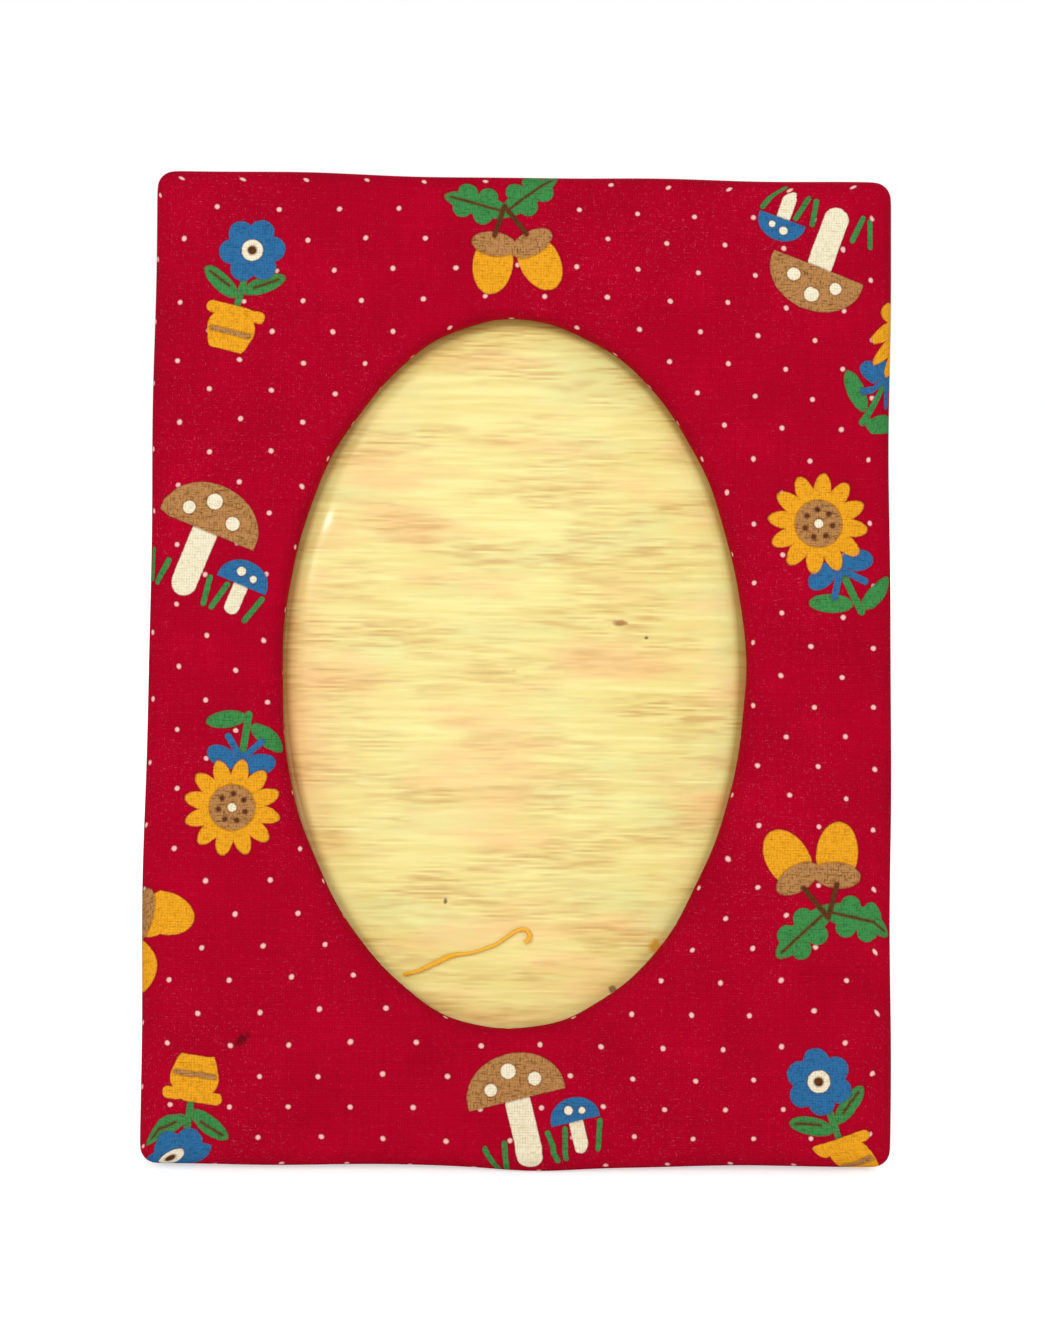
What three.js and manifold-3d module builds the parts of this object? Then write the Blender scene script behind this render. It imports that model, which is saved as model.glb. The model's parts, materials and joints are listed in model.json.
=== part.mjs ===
// A padded picture frame: a cotton-covered front with an oval window, a pocket that a card
// slides into from the top, and a cloth-covered easel leg on a pinned hinge behind it.
// Millimetres, +Z up. The picture faces -Y, and the origin is on the table, under the middle
// of the standing frame.

import * as THREE from 'three';
import { mergeVertices } from 'three/addons/utils/BufferGeometryUtils.js';
import Module from 'manifold-3d';

const wasm = await Module();
wasm.setup();

// Overall size and stance
const frameWidth = 152.4;
const frameHeight = 203.2;
const cornerRadius = 3.5;
const leanDegrees = 13;
const legOpenDegrees = 23;

// Border between the outer edge and the oval, which sits a little off the middle of the front,
// and the picture behind it
const borderWidth = 28.6;
const ovalOffsetX = -1.4;
const ovalOffsetHeight = -1.1;
const pictureOverlap = 3.2;
const insertTopGap = 4;

// Thickness of each layer
const clothThickness = 0.4;
const frontBoardThickness = 2;
const backBoardThickness = 2;
const legBoardThickness = 2;
const liningThickness = 0.3;
const insertCardThickness = 1;
const insertClothThickness = 0.4;
const windowThickness = 0.5;

// Padded front: the roll over its edges, and the crown between them
const waddingThickness = 3;
const outerRollWidth = 4;
const ovalRollWidth = 3.6;
const crownRise = 0.8;

// Cloth turned in behind the boards
const frontTurnIn = 12;
const ovalTurnIn = 9;
const backTurnIn = 12;
const legTurnIn = 8;
const edgeRound = 0.35;

// Window with a raised rim
const windowRimHeight = 2.4;
const windowRimWidth = 2.2;
const windowCrown = 1;

// Back and pocket
const backInset = 1;
const liningInset = 3;
const railSetBack = 1.5;

// Easel leg
const hingeHeight = 146;
const legTopWidth = 42;
const legFootWidth = 64;
const legCornerRadius = 5;
const legLiningInset = 2.5;

// Hinge
const leafWidth = 34;
const leafHeight = 15;
const leafThickness = 1;
const leafCornerRadius = 2;
const pinDiameter = 1.6;
const pinHead = 0.8;
const knuckleWall = 0.6;
const legKnuckleLength = 12;
const rivetSpacing = 22;
const rivetFromAxis = 9;
const rivetShankDiameter = 2;
const rivetHeadDiameter = 4.8;
const rivetHeadHeight = 0.9;

// Ribbon stay, stapled at both ends; its ends are measured from the hinge axis
const ribbonWidth = 10;
const ribbonThickness = 0.3;
const ribbonTab = 8;
const ribbonBackEnd = 58;
const ribbonLegEnd = 104;
const stapleWire = 0.45;
const stapleBite = 1.2;

// Loose thread behind the window
const threadDiameter = 0.7;

// Clearances
const glueGap = 0.2;
const slideGap = 0.4;
const pocketSideGap = 0.7;
const windowGap = 0.5;
const pinGap = 0.15;
const knuckleGap = 0.3;
const holeGap = 0.2;
const ribbonGap = 0.15;
const threadGap = 0.3;

// Steps of the curved shapes
const cornerSteps = 4;
const sideSteps = 8;
const rollDegrees = [0, 30, 60, 90];
const roundSides = 16;
const ribbonSteps = 16;
const threadSides = 8;
const threadSteps = 28;

const lean = THREE.MathUtils.degToRad(leanDegrees);
const legOpen = THREE.MathUtils.degToRad(legOpenDegrees);
const legFromVertical = legOpen - lean;

// Depth of each layer: 0 at the rear of the back cloth, smaller towards the front
const backBoardRear = -clothThickness - glueGap;
const backBoardFront = backBoardRear - backBoardThickness;
const backTurnFront = backBoardFront - glueGap - clothThickness;
const liningRear = backTurnFront - glueGap;
const liningFront = liningRear - liningThickness;
const insertCardRear = liningFront - slideGap;
const insertClothRear = insertCardRear - insertCardThickness - glueGap;
const insertFront = insertClothRear - insertClothThickness;
const windowRear = insertFront - slideGap;
const windowFront = windowRear - windowThickness;
const frontTurnRear = windowFront - glueGap;
const frontTurnFront = frontTurnRear - clothThickness;
const frontBoardRear = frontTurnFront - glueGap;
const frontBoardFront = frontBoardRear - frontBoardThickness;
const rollStart = frontBoardFront - glueGap;
const rollHeight = waddingThickness + glueGap + clothThickness;

// A board lies this far inside the outer face of its cloth
const coverDepth = clothThickness + glueGap;

// Oval, and the pocket for the insert, which is centred on it
const ovalWidth = frameWidth - 2 * borderWidth;
const ovalHeight = frameHeight - 2 * borderWidth;
const ovalMiddleHeight = frameHeight / 2 + ovalOffsetHeight;
const pictureWidth = ovalWidth + 2 * pictureOverlap;
const pictureBottom = ovalMiddleHeight - ovalHeight / 2 - pictureOverlap;
const pictureTop = ovalMiddleHeight + ovalHeight / 2 + pictureOverlap;
const pocketHalfWidth = pictureWidth / 2 + pocketSideGap;

// Hinge axis, and the easel leg hung from it, as far as the table
const knuckleRadius = pinDiameter / 2 + pinGap + knuckleWall;
const axisFromBack = knuckleRadius + glueGap;
const backFootHeight = backInset * Math.cos(lean) + edgeRound * Math.sin(lean);
const axisAboveTable = hingeHeight * Math.cos(lean) - axisFromBack * Math.sin(lean) - backFootHeight;
const legReach = axisAboveTable / Math.cos(legFromVertical);
const legTopGap = knuckleRadius + knuckleGap;
const leafInner = -knuckleRadius;
const leafOuter = leafInner + leafThickness;
const legLiningInner = leafOuter + glueGap;
const legTurnInner = legLiningInner + liningThickness + glueGap;
const legBoardInner = legTurnInner + clothThickness + glueGap;
const legBoardOuter = legBoardInner + legBoardThickness;
const legOuter = legBoardOuter + coverDepth;

const colours = {
  print: 0xb0041f,
  wadding: 0xf2efe6,
  greyboard: 0x9a9184,
  clear: 0xf4f7f7,
  slub: 0xf0dc92,
  gold: 0xe0a52c,
  backCloth: 0x9c0a22,
  lining: 0xe9e2d2,
  steel: 0xc3b48a,
  ribbon: 0xb5122c,
};

function material(colour, roughness, metalness = 0) {
  return new THREE.MeshStandardMaterial({ color: colour, roughness, metalness });
}

function piece(name, geometry, finish) {
  const mesh = new THREE.Mesh(geometry, finish);
  mesh.name = name;
  return mesh;
}

// Meshes from loops of points

function turnOutwards(points, triangles) {
  let volume = 0;
  for (let i = 0; i < triangles.length; i += 3) {
    const [a, b, c] = [0, 1, 2].map((k) => points[triangles[i + k]]);
    volume += a.dot(b.clone().cross(c));
  }
  return volume < 0 ? triangles.toReversed() : triangles;
}

// Joins loops of matching points into one closed solid. A ring's last loop joins its first;
// otherwise a flat cap closes the first loop and the last.
function loft(loops, ring = false) {
  const count = loops[0].length;
  const points = loops.flat();
  const triangles = [];
  const strips = ring ? loops.length : loops.length - 1;
  for (let row = 0; row < strips; row += 1) {
    const near = row * count;
    const far = ((row + 1) % loops.length) * count;
    for (let i = 0; i < count; i += 1) {
      const next = (i + 1) % count;
      triangles.push(near + i, near + next, far + next, near + i, far + next, far + i);
    }
  }
  if (!ring) {
    const lastRow = (loops.length - 1) * count;
    const firstCentre = points.push(middleOf(loops[0])) - 1;
    const lastCentre = points.push(middleOf(loops.at(-1))) - 1;
    for (let i = 0; i < count; i += 1) {
      const next = (i + 1) % count;
      triangles.push(firstCentre, next, i, lastCentre, lastRow + i, lastRow + next);
    }
  }
  const geometry = new THREE.BufferGeometry().setFromPoints(points);
  geometry.setIndex(turnOutwards(points, triangles));
  return geometry;
}

function middleOf(loop) {
  const sum = loop.reduce((total, point) => total.add(point), new THREE.Vector3());
  return sum.divideScalar(loop.length);
}

function atDepth(flatPoints, depth) {
  return flatPoints.map((point) => new THREE.Vector3(point.x, depth, point.y));
}

function cornerArc(before, corner, after, radius) {
  const back = before.clone().sub(corner).normalize();
  const on = after.clone().sub(corner).normalize();
  const half = Math.acos(back.dot(on)) / 2;
  const inwards = back.clone().add(on).normalize();
  const centre = corner.clone().addScaledVector(inwards, radius / Math.sin(half));
  const start = corner.clone().addScaledVector(back, radius / Math.tan(half)).sub(centre).angle();
  const turn = Math.PI - 2 * half;
  return Array.from({ length: cornerSteps + 1 }, (_, step) => {
    const angle = start + (turn * step) / cornerSteps;
    return new THREE.Vector2(Math.cos(angle), Math.sin(angle)).multiplyScalar(radius).add(centre);
  });
}

// A four-sided outline with round corners, anticlockwise from its top right corner. It is as
// wide as topWidth and footWidth at its top and its foot, and drawn in by inset all round.
function outlineLoop({ topWidth, footWidth, top, foot, radius, middleX = 0 }, inset = 0) {
  const slope = (topWidth - footWidth) / 2 / (top - foot);
  const halfWidth = (height) =>
    footWidth / 2 + slope * (height - foot) - inset * Math.hypot(1, slope);
  const high = top - inset;
  const low = foot + inset;
  const corners = [
    new THREE.Vector2(middleX + halfWidth(high), high),
    new THREE.Vector2(middleX - halfWidth(high), high),
    new THREE.Vector2(middleX - halfWidth(low), low),
    new THREE.Vector2(middleX + halfWidth(low), low),
  ];
  const innerRadius = Math.max(radius - inset, edgeRound);
  const arcs = corners.map((corner, i) =>
    cornerArc(corners[(i + 3) % 4], corner, corners[(i + 1) % 4], innerRadius));
  return arcs.flatMap((arc, i) => {
    const end = arcs[(i + 1) % 4][0];
    const side = Array.from({ length: sideSteps - 1 }, (_, k) =>
      arc.at(-1).clone().lerp(end, (k + 1) / sideSteps));
    return [...arc, ...side];
  });
}

// The oval, grown outwards by grow, with one point for each point of an outline loop
function ovalLoop(grow = 0) {
  const count = 4 * (cornerSteps + sideSteps);
  return Array.from({ length: count }, (_, i) => {
    const angle = Math.PI / 4 + ((i - cornerSteps / 2) * 2 * Math.PI) / count;
    return new THREE.Vector2(
      (ovalWidth / 2 + grow) * Math.cos(angle) + ovalOffsetX,
      (ovalHeight / 2 + grow) * Math.sin(angle) + ovalMiddleHeight,
    );
  });
}

function midway(loopA, loopB) {
  return loopA.map((point, i) => point.clone().lerp(loopB[i], 0.5));
}

function plate(outline, inset, rear, front) {
  const flat = outlineLoop(outline, inset);
  return loft([atDepth(flat, rear), atDepth(flat, front)]);
}

function block(fromX, toX, rear, front, bottom, top) {
  const geometry = new THREE.BoxGeometry(toX - fromX, rear - front, top - bottom);
  return geometry.translate((fromX + toX) / 2, (rear + front) / 2, (bottom + top) / 2);
}

// Cuts and joins

function toSolid(geometry) {
  const bare = geometry.clone();
  bare.deleteAttribute('normal');
  bare.deleteAttribute('uv');
  const merged = mergeVertices(bare, 1e-3);
  return new wasm.Manifold(new wasm.Mesh({
    numProp: 3,
    vertProperties: merged.attributes.position.array,
    triVerts: new Uint32Array(merged.index.array),
  }));
}

function toGeometry(solid) {
  const mesh = solid.getMesh();
  const geometry = new THREE.BufferGeometry();
  geometry.setAttribute('position', new THREE.BufferAttribute(mesh.vertProperties, 3));
  geometry.setIndex(new THREE.BufferAttribute(mesh.triVerts, 1));
  return geometry;
}

function join(geometries) {
  return toGeometry(geometries.map(toSolid).reduce((whole, next) => whole.add(next)));
}

function cut(geometry, cutters) {
  return toGeometry(cutters.map(toSolid).reduce((left, cutter) => left.subtract(cutter), toSolid(geometry)));
}

// Round holes from front to rear, at places given as x and height
function drill(geometry, places, radius) {
  const box = new THREE.Box3().setFromBufferAttribute(geometry.attributes.position);
  const length = box.max.y - box.min.y + 2;
  const holes = places.map(([x, height]) => {
    const hole = new THREE.CylinderGeometry(radius, radius, length, roundSides);
    return hole.translate(x, (box.min.y + box.max.y) / 2, height);
  });
  return cut(geometry, holes);
}

// Front: board, wadding and the cotton cover

const frontOutline = {
  topWidth: frameWidth,
  footWidth: frameWidth,
  top: frameHeight,
  foot: 0,
  radius: cornerRadius,
};

// The padded section from the outer edge over the crown to the oval, this far inside the
// cover's outer face
function paddedSection(inside) {
  const rollPoint = (degrees, width) => {
    const angle = THREE.MathUtils.degToRad(degrees);
    return {
      drawnIn: width - (width - inside) * Math.cos(angle),
      depth: rollStart - (rollHeight - inside) * Math.sin(angle),
    };
  };
  const outer = rollDegrees.map((degrees) => {
    const { drawnIn, depth } = rollPoint(degrees, outerRollWidth);
    return atDepth(outlineLoop(frontOutline, drawnIn), depth);
  });
  const oval = rollDegrees.map((degrees) => {
    const { drawnIn, depth } = rollPoint(degrees, ovalRollWidth);
    return atDepth(ovalLoop(drawnIn), depth);
  });
  const crown = midway(outer.at(-1), oval.at(-1));
  crown.forEach((point) => point.setY(point.y - crownRise));
  return [...outer, crown, ...oval.toReversed()];
}

function coverSide(inside, turnDepth) {
  return [
    atDepth(outlineLoop(frontOutline, frontTurnIn), turnDepth),
    atDepth(outlineLoop(frontOutline, inside), turnDepth),
    ...paddedSection(inside),
    atDepth(ovalLoop(inside), turnDepth),
    atDepth(ovalLoop(ovalTurnIn), turnDepth),
  ];
}

function frontBoardShape() {
  const outer = outlineLoop(frontOutline, coverDepth);
  const oval = ovalLoop(coverDepth);
  const loops = [
    atDepth(outer, frontBoardRear),
    atDepth(outer, frontBoardFront),
    atDepth(oval, frontBoardFront),
    atDepth(oval, frontBoardRear),
  ];
  return loft(loops, true);
}

function frontCoverShape() {
  const outside = coverSide(0, frontTurnRear);
  const inside = coverSide(clothThickness, frontTurnFront);
  return loft([...outside, ...inside.toReversed()], true);
}

// Window: a flange behind the board, a raised rim inside the oval and a low crown

const windowOutline = {
  topWidth: pictureWidth,
  footWidth: pictureWidth,
  top: pictureTop,
  foot: pictureBottom,
  radius: cornerRadius,
  middleX: ovalOffsetX,
};

function windowFace(inside) {
  const flange = windowFront + inside;
  const rim = rollDegrees.map((degrees) => {
    const angle = THREE.MathUtils.degToRad(degrees);
    const drawnIn = windowRimWidth - (windowRimWidth - inside) * Math.cos(angle);
    return atDepth(ovalLoop(-windowGap - drawnIn), flange - windowRimHeight * Math.sin(angle));
  });
  const middle = middleOf(rim.at(-1));
  const crown = rim.at(-1).map((point) => point.clone().lerp(middle, 0.5));
  crown.forEach((point) => point.setY(point.y - windowCrown));
  return [atDepth(outlineLoop(windowOutline), flange), ...rim, crown];
}

function windowShape() {
  return loft([...windowFace(0).toReversed(), ...windowFace(windowThickness)]);
}

// Cloth glued over one face of a board and turned in behind its edges. outlineAt gives the
// outline at a depth; the face is at outer, and the turned-in hem ends at inner.
function clothOver(outlineAt, outer, inner, turnIn) {
  const loop = (inset, depth) => atDepth(outlineLoop(outlineAt(depth), inset), depth);
  return loft([
    loop(edgeRound, outer),
    loop(0, outer - edgeRound),
    loop(0, inner + edgeRound),
    loop(edgeRound, inner),
    loop(turnIn, inner),
    loop(turnIn, inner + clothThickness),
    loop(clothThickness, inner + clothThickness),
    loop(clothThickness, outer - clothThickness),
  ]);
}

// Back

const backOutline = {
  topWidth: frameWidth - 2 * backInset,
  footWidth: frameWidth - 2 * backInset,
  top: frameHeight - backInset,
  foot: backInset,
  radius: cornerRadius,
};

// Easel leg, in a frame of its own with the hinge axis at its origin. Its foot is cut so that
// it lies flat on the table when the leg is open.

function legOutline(depth) {
  return {
    topWidth: legTopWidth,
    footWidth: legFootWidth,
    top: -legTopGap,
    foot: -legReach - depth * Math.tan(legFromVertical),
    radius: legCornerRadius,
  };
}

function legPlate(inset, outer, inner) {
  const loops = [outer, inner].map((depth) => atDepth(outlineLoop(legOutline(depth), inset), depth));
  return loft(loops);
}

// Hinge

function tube(radius, length, middleX) {
  const geometry = new THREE.CylinderGeometry(radius, radius, length, roundSides);
  return geometry.rotateZ(Math.PI / 2).translate(middleX, 0, 0);
}

// side is 1 for the leaf above the axis and -1 for the one below it; each knuckle is given as
// its middle and its length along the axis
function leafShape(side, knuckles) {
  const plateStart = knuckleRadius + knuckleGap;
  const outline = {
    topWidth: leafWidth,
    footWidth: leafWidth,
    top: side > 0 ? leafHeight : -plateStart,
    foot: side > 0 ? plateStart : -leafHeight,
    radius: leafCornerRadius,
  };
  const pieces = knuckles.flatMap(([middleX, length]) => {
    const heights = [0, side * (plateStart + leafCornerRadius)];
    const tab = block(middleX - length / 2, middleX + length / 2,
      leafOuter, leafInner, Math.min(...heights), Math.max(...heights));
    return [tab, tube(knuckleRadius, length, middleX)];
  });
  const whole = join([plate(outline, 0, leafOuter, leafInner), ...pieces]);
  const bored = cut(whole, [tube(pinDiameter / 2 + pinGap, 2 * leafWidth, 0)]);
  return drill(bored, rivetPlaces(side * rivetFromAxis), rivetShankDiameter / 2 + holeGap);
}

function rivetPlaces(height) {
  return [[-rivetSpacing / 2, height], [rivetSpacing / 2, height]];
}

// A domed rivet with its head's underside at depth 0 and its shank towards the front
function rivetShape(shankLength) {
  const headRadius = rivetHeadDiameter / 2;
  const profile = [
    new THREE.Vector2(0, -shankLength),
    new THREE.Vector2(rivetShankDiameter / 2, -shankLength),
    new THREE.Vector2(rivetShankDiameter / 2, 0),
    new THREE.Vector2(headRadius, 0),
  ];
  [30, 60].forEach((degrees) => {
    const angle = THREE.MathUtils.degToRad(degrees);
    profile.push(new THREE.Vector2(headRadius * Math.cos(angle), rivetHeadHeight * Math.sin(angle)));
  });
  profile.push(new THREE.Vector2(0, rivetHeadHeight));
  return new THREE.LatheGeometry(profile, roundSides);
}

// Ribbon stay: flat on the back, then across to the leg in a soft S, then flat on the leg

const ribbonBackDepth = -axisFromBack + ribbonGap + ribbonThickness / 2;
const ribbonLegDepth = legLiningInner - ribbonGap - ribbonThickness / 2;

function onLeg(fromAxis, depth, angle) {
  const along = new THREE.Vector2(Math.sin(angle), -Math.cos(angle)).multiplyScalar(fromAxis);
  return along.addScaledVector(new THREE.Vector2(Math.cos(angle), Math.sin(angle)), depth);
}

function ribbonShape() {
  const line = [onLeg(ribbonBackEnd - ribbonTab, ribbonBackDepth, 0)];
  for (let step = 0; step <= ribbonSteps; step += 1) {
    const share = step / ribbonSteps;
    const fromAxis = THREE.MathUtils.lerp(ribbonBackEnd, ribbonLegEnd, share);
    const depth = THREE.MathUtils.lerp(ribbonBackDepth, ribbonLegDepth, share);
    line.push(onLeg(fromAxis, depth, legOpen * THREE.MathUtils.smoothstep(share, 0, 1)));
  }
  line.push(onLeg(ribbonLegEnd + ribbonTab, ribbonLegDepth, legOpen));
  const sideways = line.map((_, i) => {
    const along = line[Math.min(i + 1, line.length - 1)].clone().sub(line[Math.max(i - 1, 0)]);
    return new THREE.Vector2(-along.y, along.x).setLength(ribbonThickness / 2);
  });
  const oneFace = line.map((point, i) => point.clone().add(sideways[i]));
  const otherFace = line.map((point, i) => point.clone().sub(sideways[i])).toReversed();
  const strip = new THREE.ExtrudeGeometry(new THREE.Shape([...oneFace, ...otherFace]),
    { depth: ribbonWidth, bevelEnabled: false });
  const axes = [new THREE.Vector3(0, 1, 0), new THREE.Vector3(0, 0, 1), new THREE.Vector3(1, 0, 0)];
  return strip.translate(0, 0, -ribbonWidth / 2).applyMatrix4(new THREE.Matrix4().makeBasis(...axes));
}

// A staple straddles the ribbon. Its crown is at crownDepth, and its two prongs reach away
// from it to pointDepth.
const stapleHalfWidth = ribbonWidth / 2 + glueGap + stapleWire;

function stapleShape(crownDepth, pointDepth) {
  const crownInner = crownDepth + Math.sign(pointDepth - crownDepth) * stapleWire;
  const inner = stapleHalfWidth - stapleWire;
  const outline = new THREE.Shape([
    new THREE.Vector2(-stapleHalfWidth, crownDepth),
    new THREE.Vector2(stapleHalfWidth, crownDepth),
    new THREE.Vector2(stapleHalfWidth, pointDepth),
    new THREE.Vector2(inner, pointDepth),
    new THREE.Vector2(inner, crownInner),
    new THREE.Vector2(-inner, crownInner),
    new THREE.Vector2(-inner, pointDepth),
    new THREE.Vector2(-stapleHalfWidth, pointDepth),
  ]);
  const staple = new THREE.ExtrudeGeometry(outline, { depth: stapleWire, bevelEnabled: false });
  return staple.translate(0, 0, -stapleWire / 2);
}

const stapleHoleRadius = stapleWire * Math.SQRT1_2 + holeGap;
const prongX = stapleHalfWidth - stapleWire / 2;

function prongPlaces(height) {
  return [[-prongX, height], [prongX, height]];
}

// Loose thread, as x and height on the face of the insert
const threadPath = [
  [-23.4, 38.1], [-20.9, 38.7], [-19.2, 39.4], [-17.6, 40.1], [-15.3, 41.3],
  [-12.9, 42.2], [-9.6, 42.6], [-6.8, 43.5], [-4.5, 44.4], [-2.6, 45.7],
  [-1.2, 46.7], [0.1, 47.4], [1.4, 47.5], [2.3, 46.7], [2.3, 45.5], [1.4, 44.8],
];

function threadShape() {
  const depth = insertFront - threadGap - threadDiameter / 2;
  const path = new THREE.CatmullRomCurve3(threadPath.map(([x, height]) => new THREE.Vector3(x, depth, height)));
  const section = new THREE.Shape(Array.from({ length: threadSides }, (_, i) => {
    const angle = (2 * Math.PI * i) / threadSides;
    return new THREE.Vector2(Math.cos(angle), Math.sin(angle)).multiplyScalar(threadDiameter / 2);
  }));
  return new THREE.ExtrudeGeometry(section, { steps: threadSteps, extrudePath: path });
}

// The assembly: the leaning frame, the insert in its pocket, and the leg on its hinge

const cotton = material(colours.print, 0.9);
const wadding = material(colours.wadding, 1);
const greyboard = material(colours.greyboard, 0.95);
const clearSheet = material(colours.clear, 0.1);
const slubCloth = material(colours.slub, 0.8);
const goldThread = material(colours.gold, 0.6);
const backCotton = material(colours.backCloth, 0.9);
const liningPaper = material(colours.lining, 0.9);
const plated = material(colours.steel, 0.35, 1);
const satinRibbon = material(colours.ribbon, 0.5);

const rivetHole = rivetShankDiameter / 2 + holeGap;
const backRivets = rivetPlaces(hingeHeight + rivetFromAxis);
const legRivets = rivetPlaces(-rivetFromAxis);
const backStapleHeight = hingeHeight - ribbonBackEnd + ribbonTab / 2;
const legStapleHeight = -ribbonLegEnd - ribbonTab / 2;

const standing = new THREE.Group();
standing.rotation.x = -lean;

standing.add(
  piece('front_cover', frontCoverShape(), cotton),
  piece('front_wadding', loft(paddedSection(coverDepth), true), wadding),
  piece('front_board', frontBoardShape(), greyboard),
  piece('window', windowShape(), clearSheet),
  piece('loose_thread', threadShape(), goldThread),
);

// Rails between front and back, which leave the pocket open at the top
const railRear = liningFront - glueGap;
const railFront = frontTurnRear + glueGap;
const railEdge = frameWidth / 2 - backInset - railSetBack;
const railFoot = backInset + railSetBack;
const railTop = frameHeight - railFoot;
const sideRail = (fromX, toX) => block(fromX, toX, railRear, railFront, railFoot, railTop);
const bottomRailHalf = pocketHalfWidth - glueGap;
standing.add(
  piece('pocket_rail_left', sideRail(-railEdge, ovalOffsetX - pocketHalfWidth), greyboard.clone()),
  piece('pocket_rail_right', sideRail(ovalOffsetX + pocketHalfWidth, railEdge), greyboard.clone()),
  piece('pocket_rail_bottom', block(ovalOffsetX - bottomRailHalf, ovalOffsetX + bottomRailHalf,
    railRear, railFront, railFoot, pictureBottom - glueGap), greyboard.clone()),
);

const insertPiece = (rear, thickness) => block(ovalOffsetX - pictureWidth / 2,
  ovalOffsetX + pictureWidth / 2, rear, rear - thickness, pictureBottom, frameHeight - insertTopGap);
standing.add(
  piece('insert_card', insertPiece(insertCardRear, insertCardThickness), greyboard.clone()),
  piece('insert_cloth', insertPiece(insertClothRear, insertClothThickness), slubCloth),
);

const drilledBack = (geometry) => drill(drill(geometry, backRivets, rivetHole),
  prongPlaces(backStapleHeight), stapleHoleRadius);
standing.add(
  piece('back_board', drilledBack(plate(backOutline, coverDepth, backBoardRear, backBoardFront)),
    greyboard.clone()),
  piece('back_cloth', drilledBack(clothOver(() => backOutline, 0, backTurnFront, backTurnIn)), backCotton),
  piece('back_lining', plate(backOutline, liningInset, liningRear, liningFront), liningPaper),
);

const hinge = new THREE.Group();
hinge.position.set(0, axisFromBack, hingeHeight);
standing.add(hinge);

const backKnuckleLength = (leafWidth - legKnuckleLength) / 2 - knuckleGap;
const backKnuckleX = (leafWidth - backKnuckleLength) / 2;
const backKnuckles = [-1, 1].map((side) => [side * backKnuckleX, backKnuckleLength]);
hinge.add(
  piece('hinge_leaf_back', leafShape(1, backKnuckles), plated),
  piece('hinge_pin', tube(pinDiameter / 2, leafWidth + 2 * pinHead, 0), plated.clone()),
  piece('ribbon_stay', ribbonShape(), satinRibbon),
);

const backStapleCrown = ribbonBackDepth + ribbonThickness / 2 + ribbonGap + stapleWire;
const backStaple = piece('ribbon_staple_back',
  stapleShape(backStapleCrown, -axisFromBack - coverDepth - stapleBite), plated.clone());
backStaple.position.z = backStapleHeight - hingeHeight;
hinge.add(backStaple);

const leg = new THREE.Group();
leg.rotation.x = legOpen;
hinge.add(leg);

const drilledLeg = (geometry) => drill(geometry, legRivets, rivetHole);
const stapledLeg = (geometry) => drill(drilledLeg(geometry), prongPlaces(legStapleHeight), stapleHoleRadius);
leg.add(
  piece('leg_board', stapledLeg(legPlate(coverDepth, legBoardOuter, legBoardInner)), greyboard.clone()),
  piece('leg_cloth', drilledLeg(clothOver(legOutline, legOuter, legTurnInner, legTurnIn)), backCotton.clone()),
  piece('leg_lining', stapledLeg(legPlate(legLiningInset, legTurnInner - glueGap, legLiningInner)),
    liningPaper.clone()),
  piece('hinge_leaf_leg', leafShape(-1, [[0, legKnuckleLength]]), plated.clone()),
);

const legStapleCrown = ribbonLegDepth - ribbonThickness / 2 - ribbonGap - stapleWire;
const legStaple = piece('ribbon_staple_leg',
  stapleShape(legStapleCrown, legBoardInner + stapleBite), plated.clone());
legStaple.position.z = legStapleHeight;
leg.add(legStaple);

function addRivets(group, place, height, headDepth, pointDepth) {
  rivetPlaces(height).forEach(([x, at], i) => {
    const rivet = piece(`hinge_rivet_${place}_${i ? 'right' : 'left'}`,
      rivetShape(headDepth - pointDepth), plated.clone());
    rivet.position.set(x, headDepth, at);
    group.add(rivet);
  });
}

addRivets(hinge, 'back', rivetFromAxis, leafOuter + glueGap, backBoardFront - axisFromBack);
addRivets(leg, 'leg', -rivetFromAxis, legOuter + glueGap, leafInner);

const pictureFrame = new THREE.Group();
pictureFrame.add(standing);
const box = new THREE.Box3().setFromObject(pictureFrame, true);
pictureFrame.position.set(0, -(box.min.y + box.max.y) / 2, -box.min.z);

export default pictureFrame;
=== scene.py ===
# A padded picture frame in printed cotton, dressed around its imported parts. Blender works in
# metres, in the part's own frame. Sizes named here are millimetres unless they say otherwise.

import functools
import json
import math

import bpy
import numpy as np
from mathutils import Matrix, Vector


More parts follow.
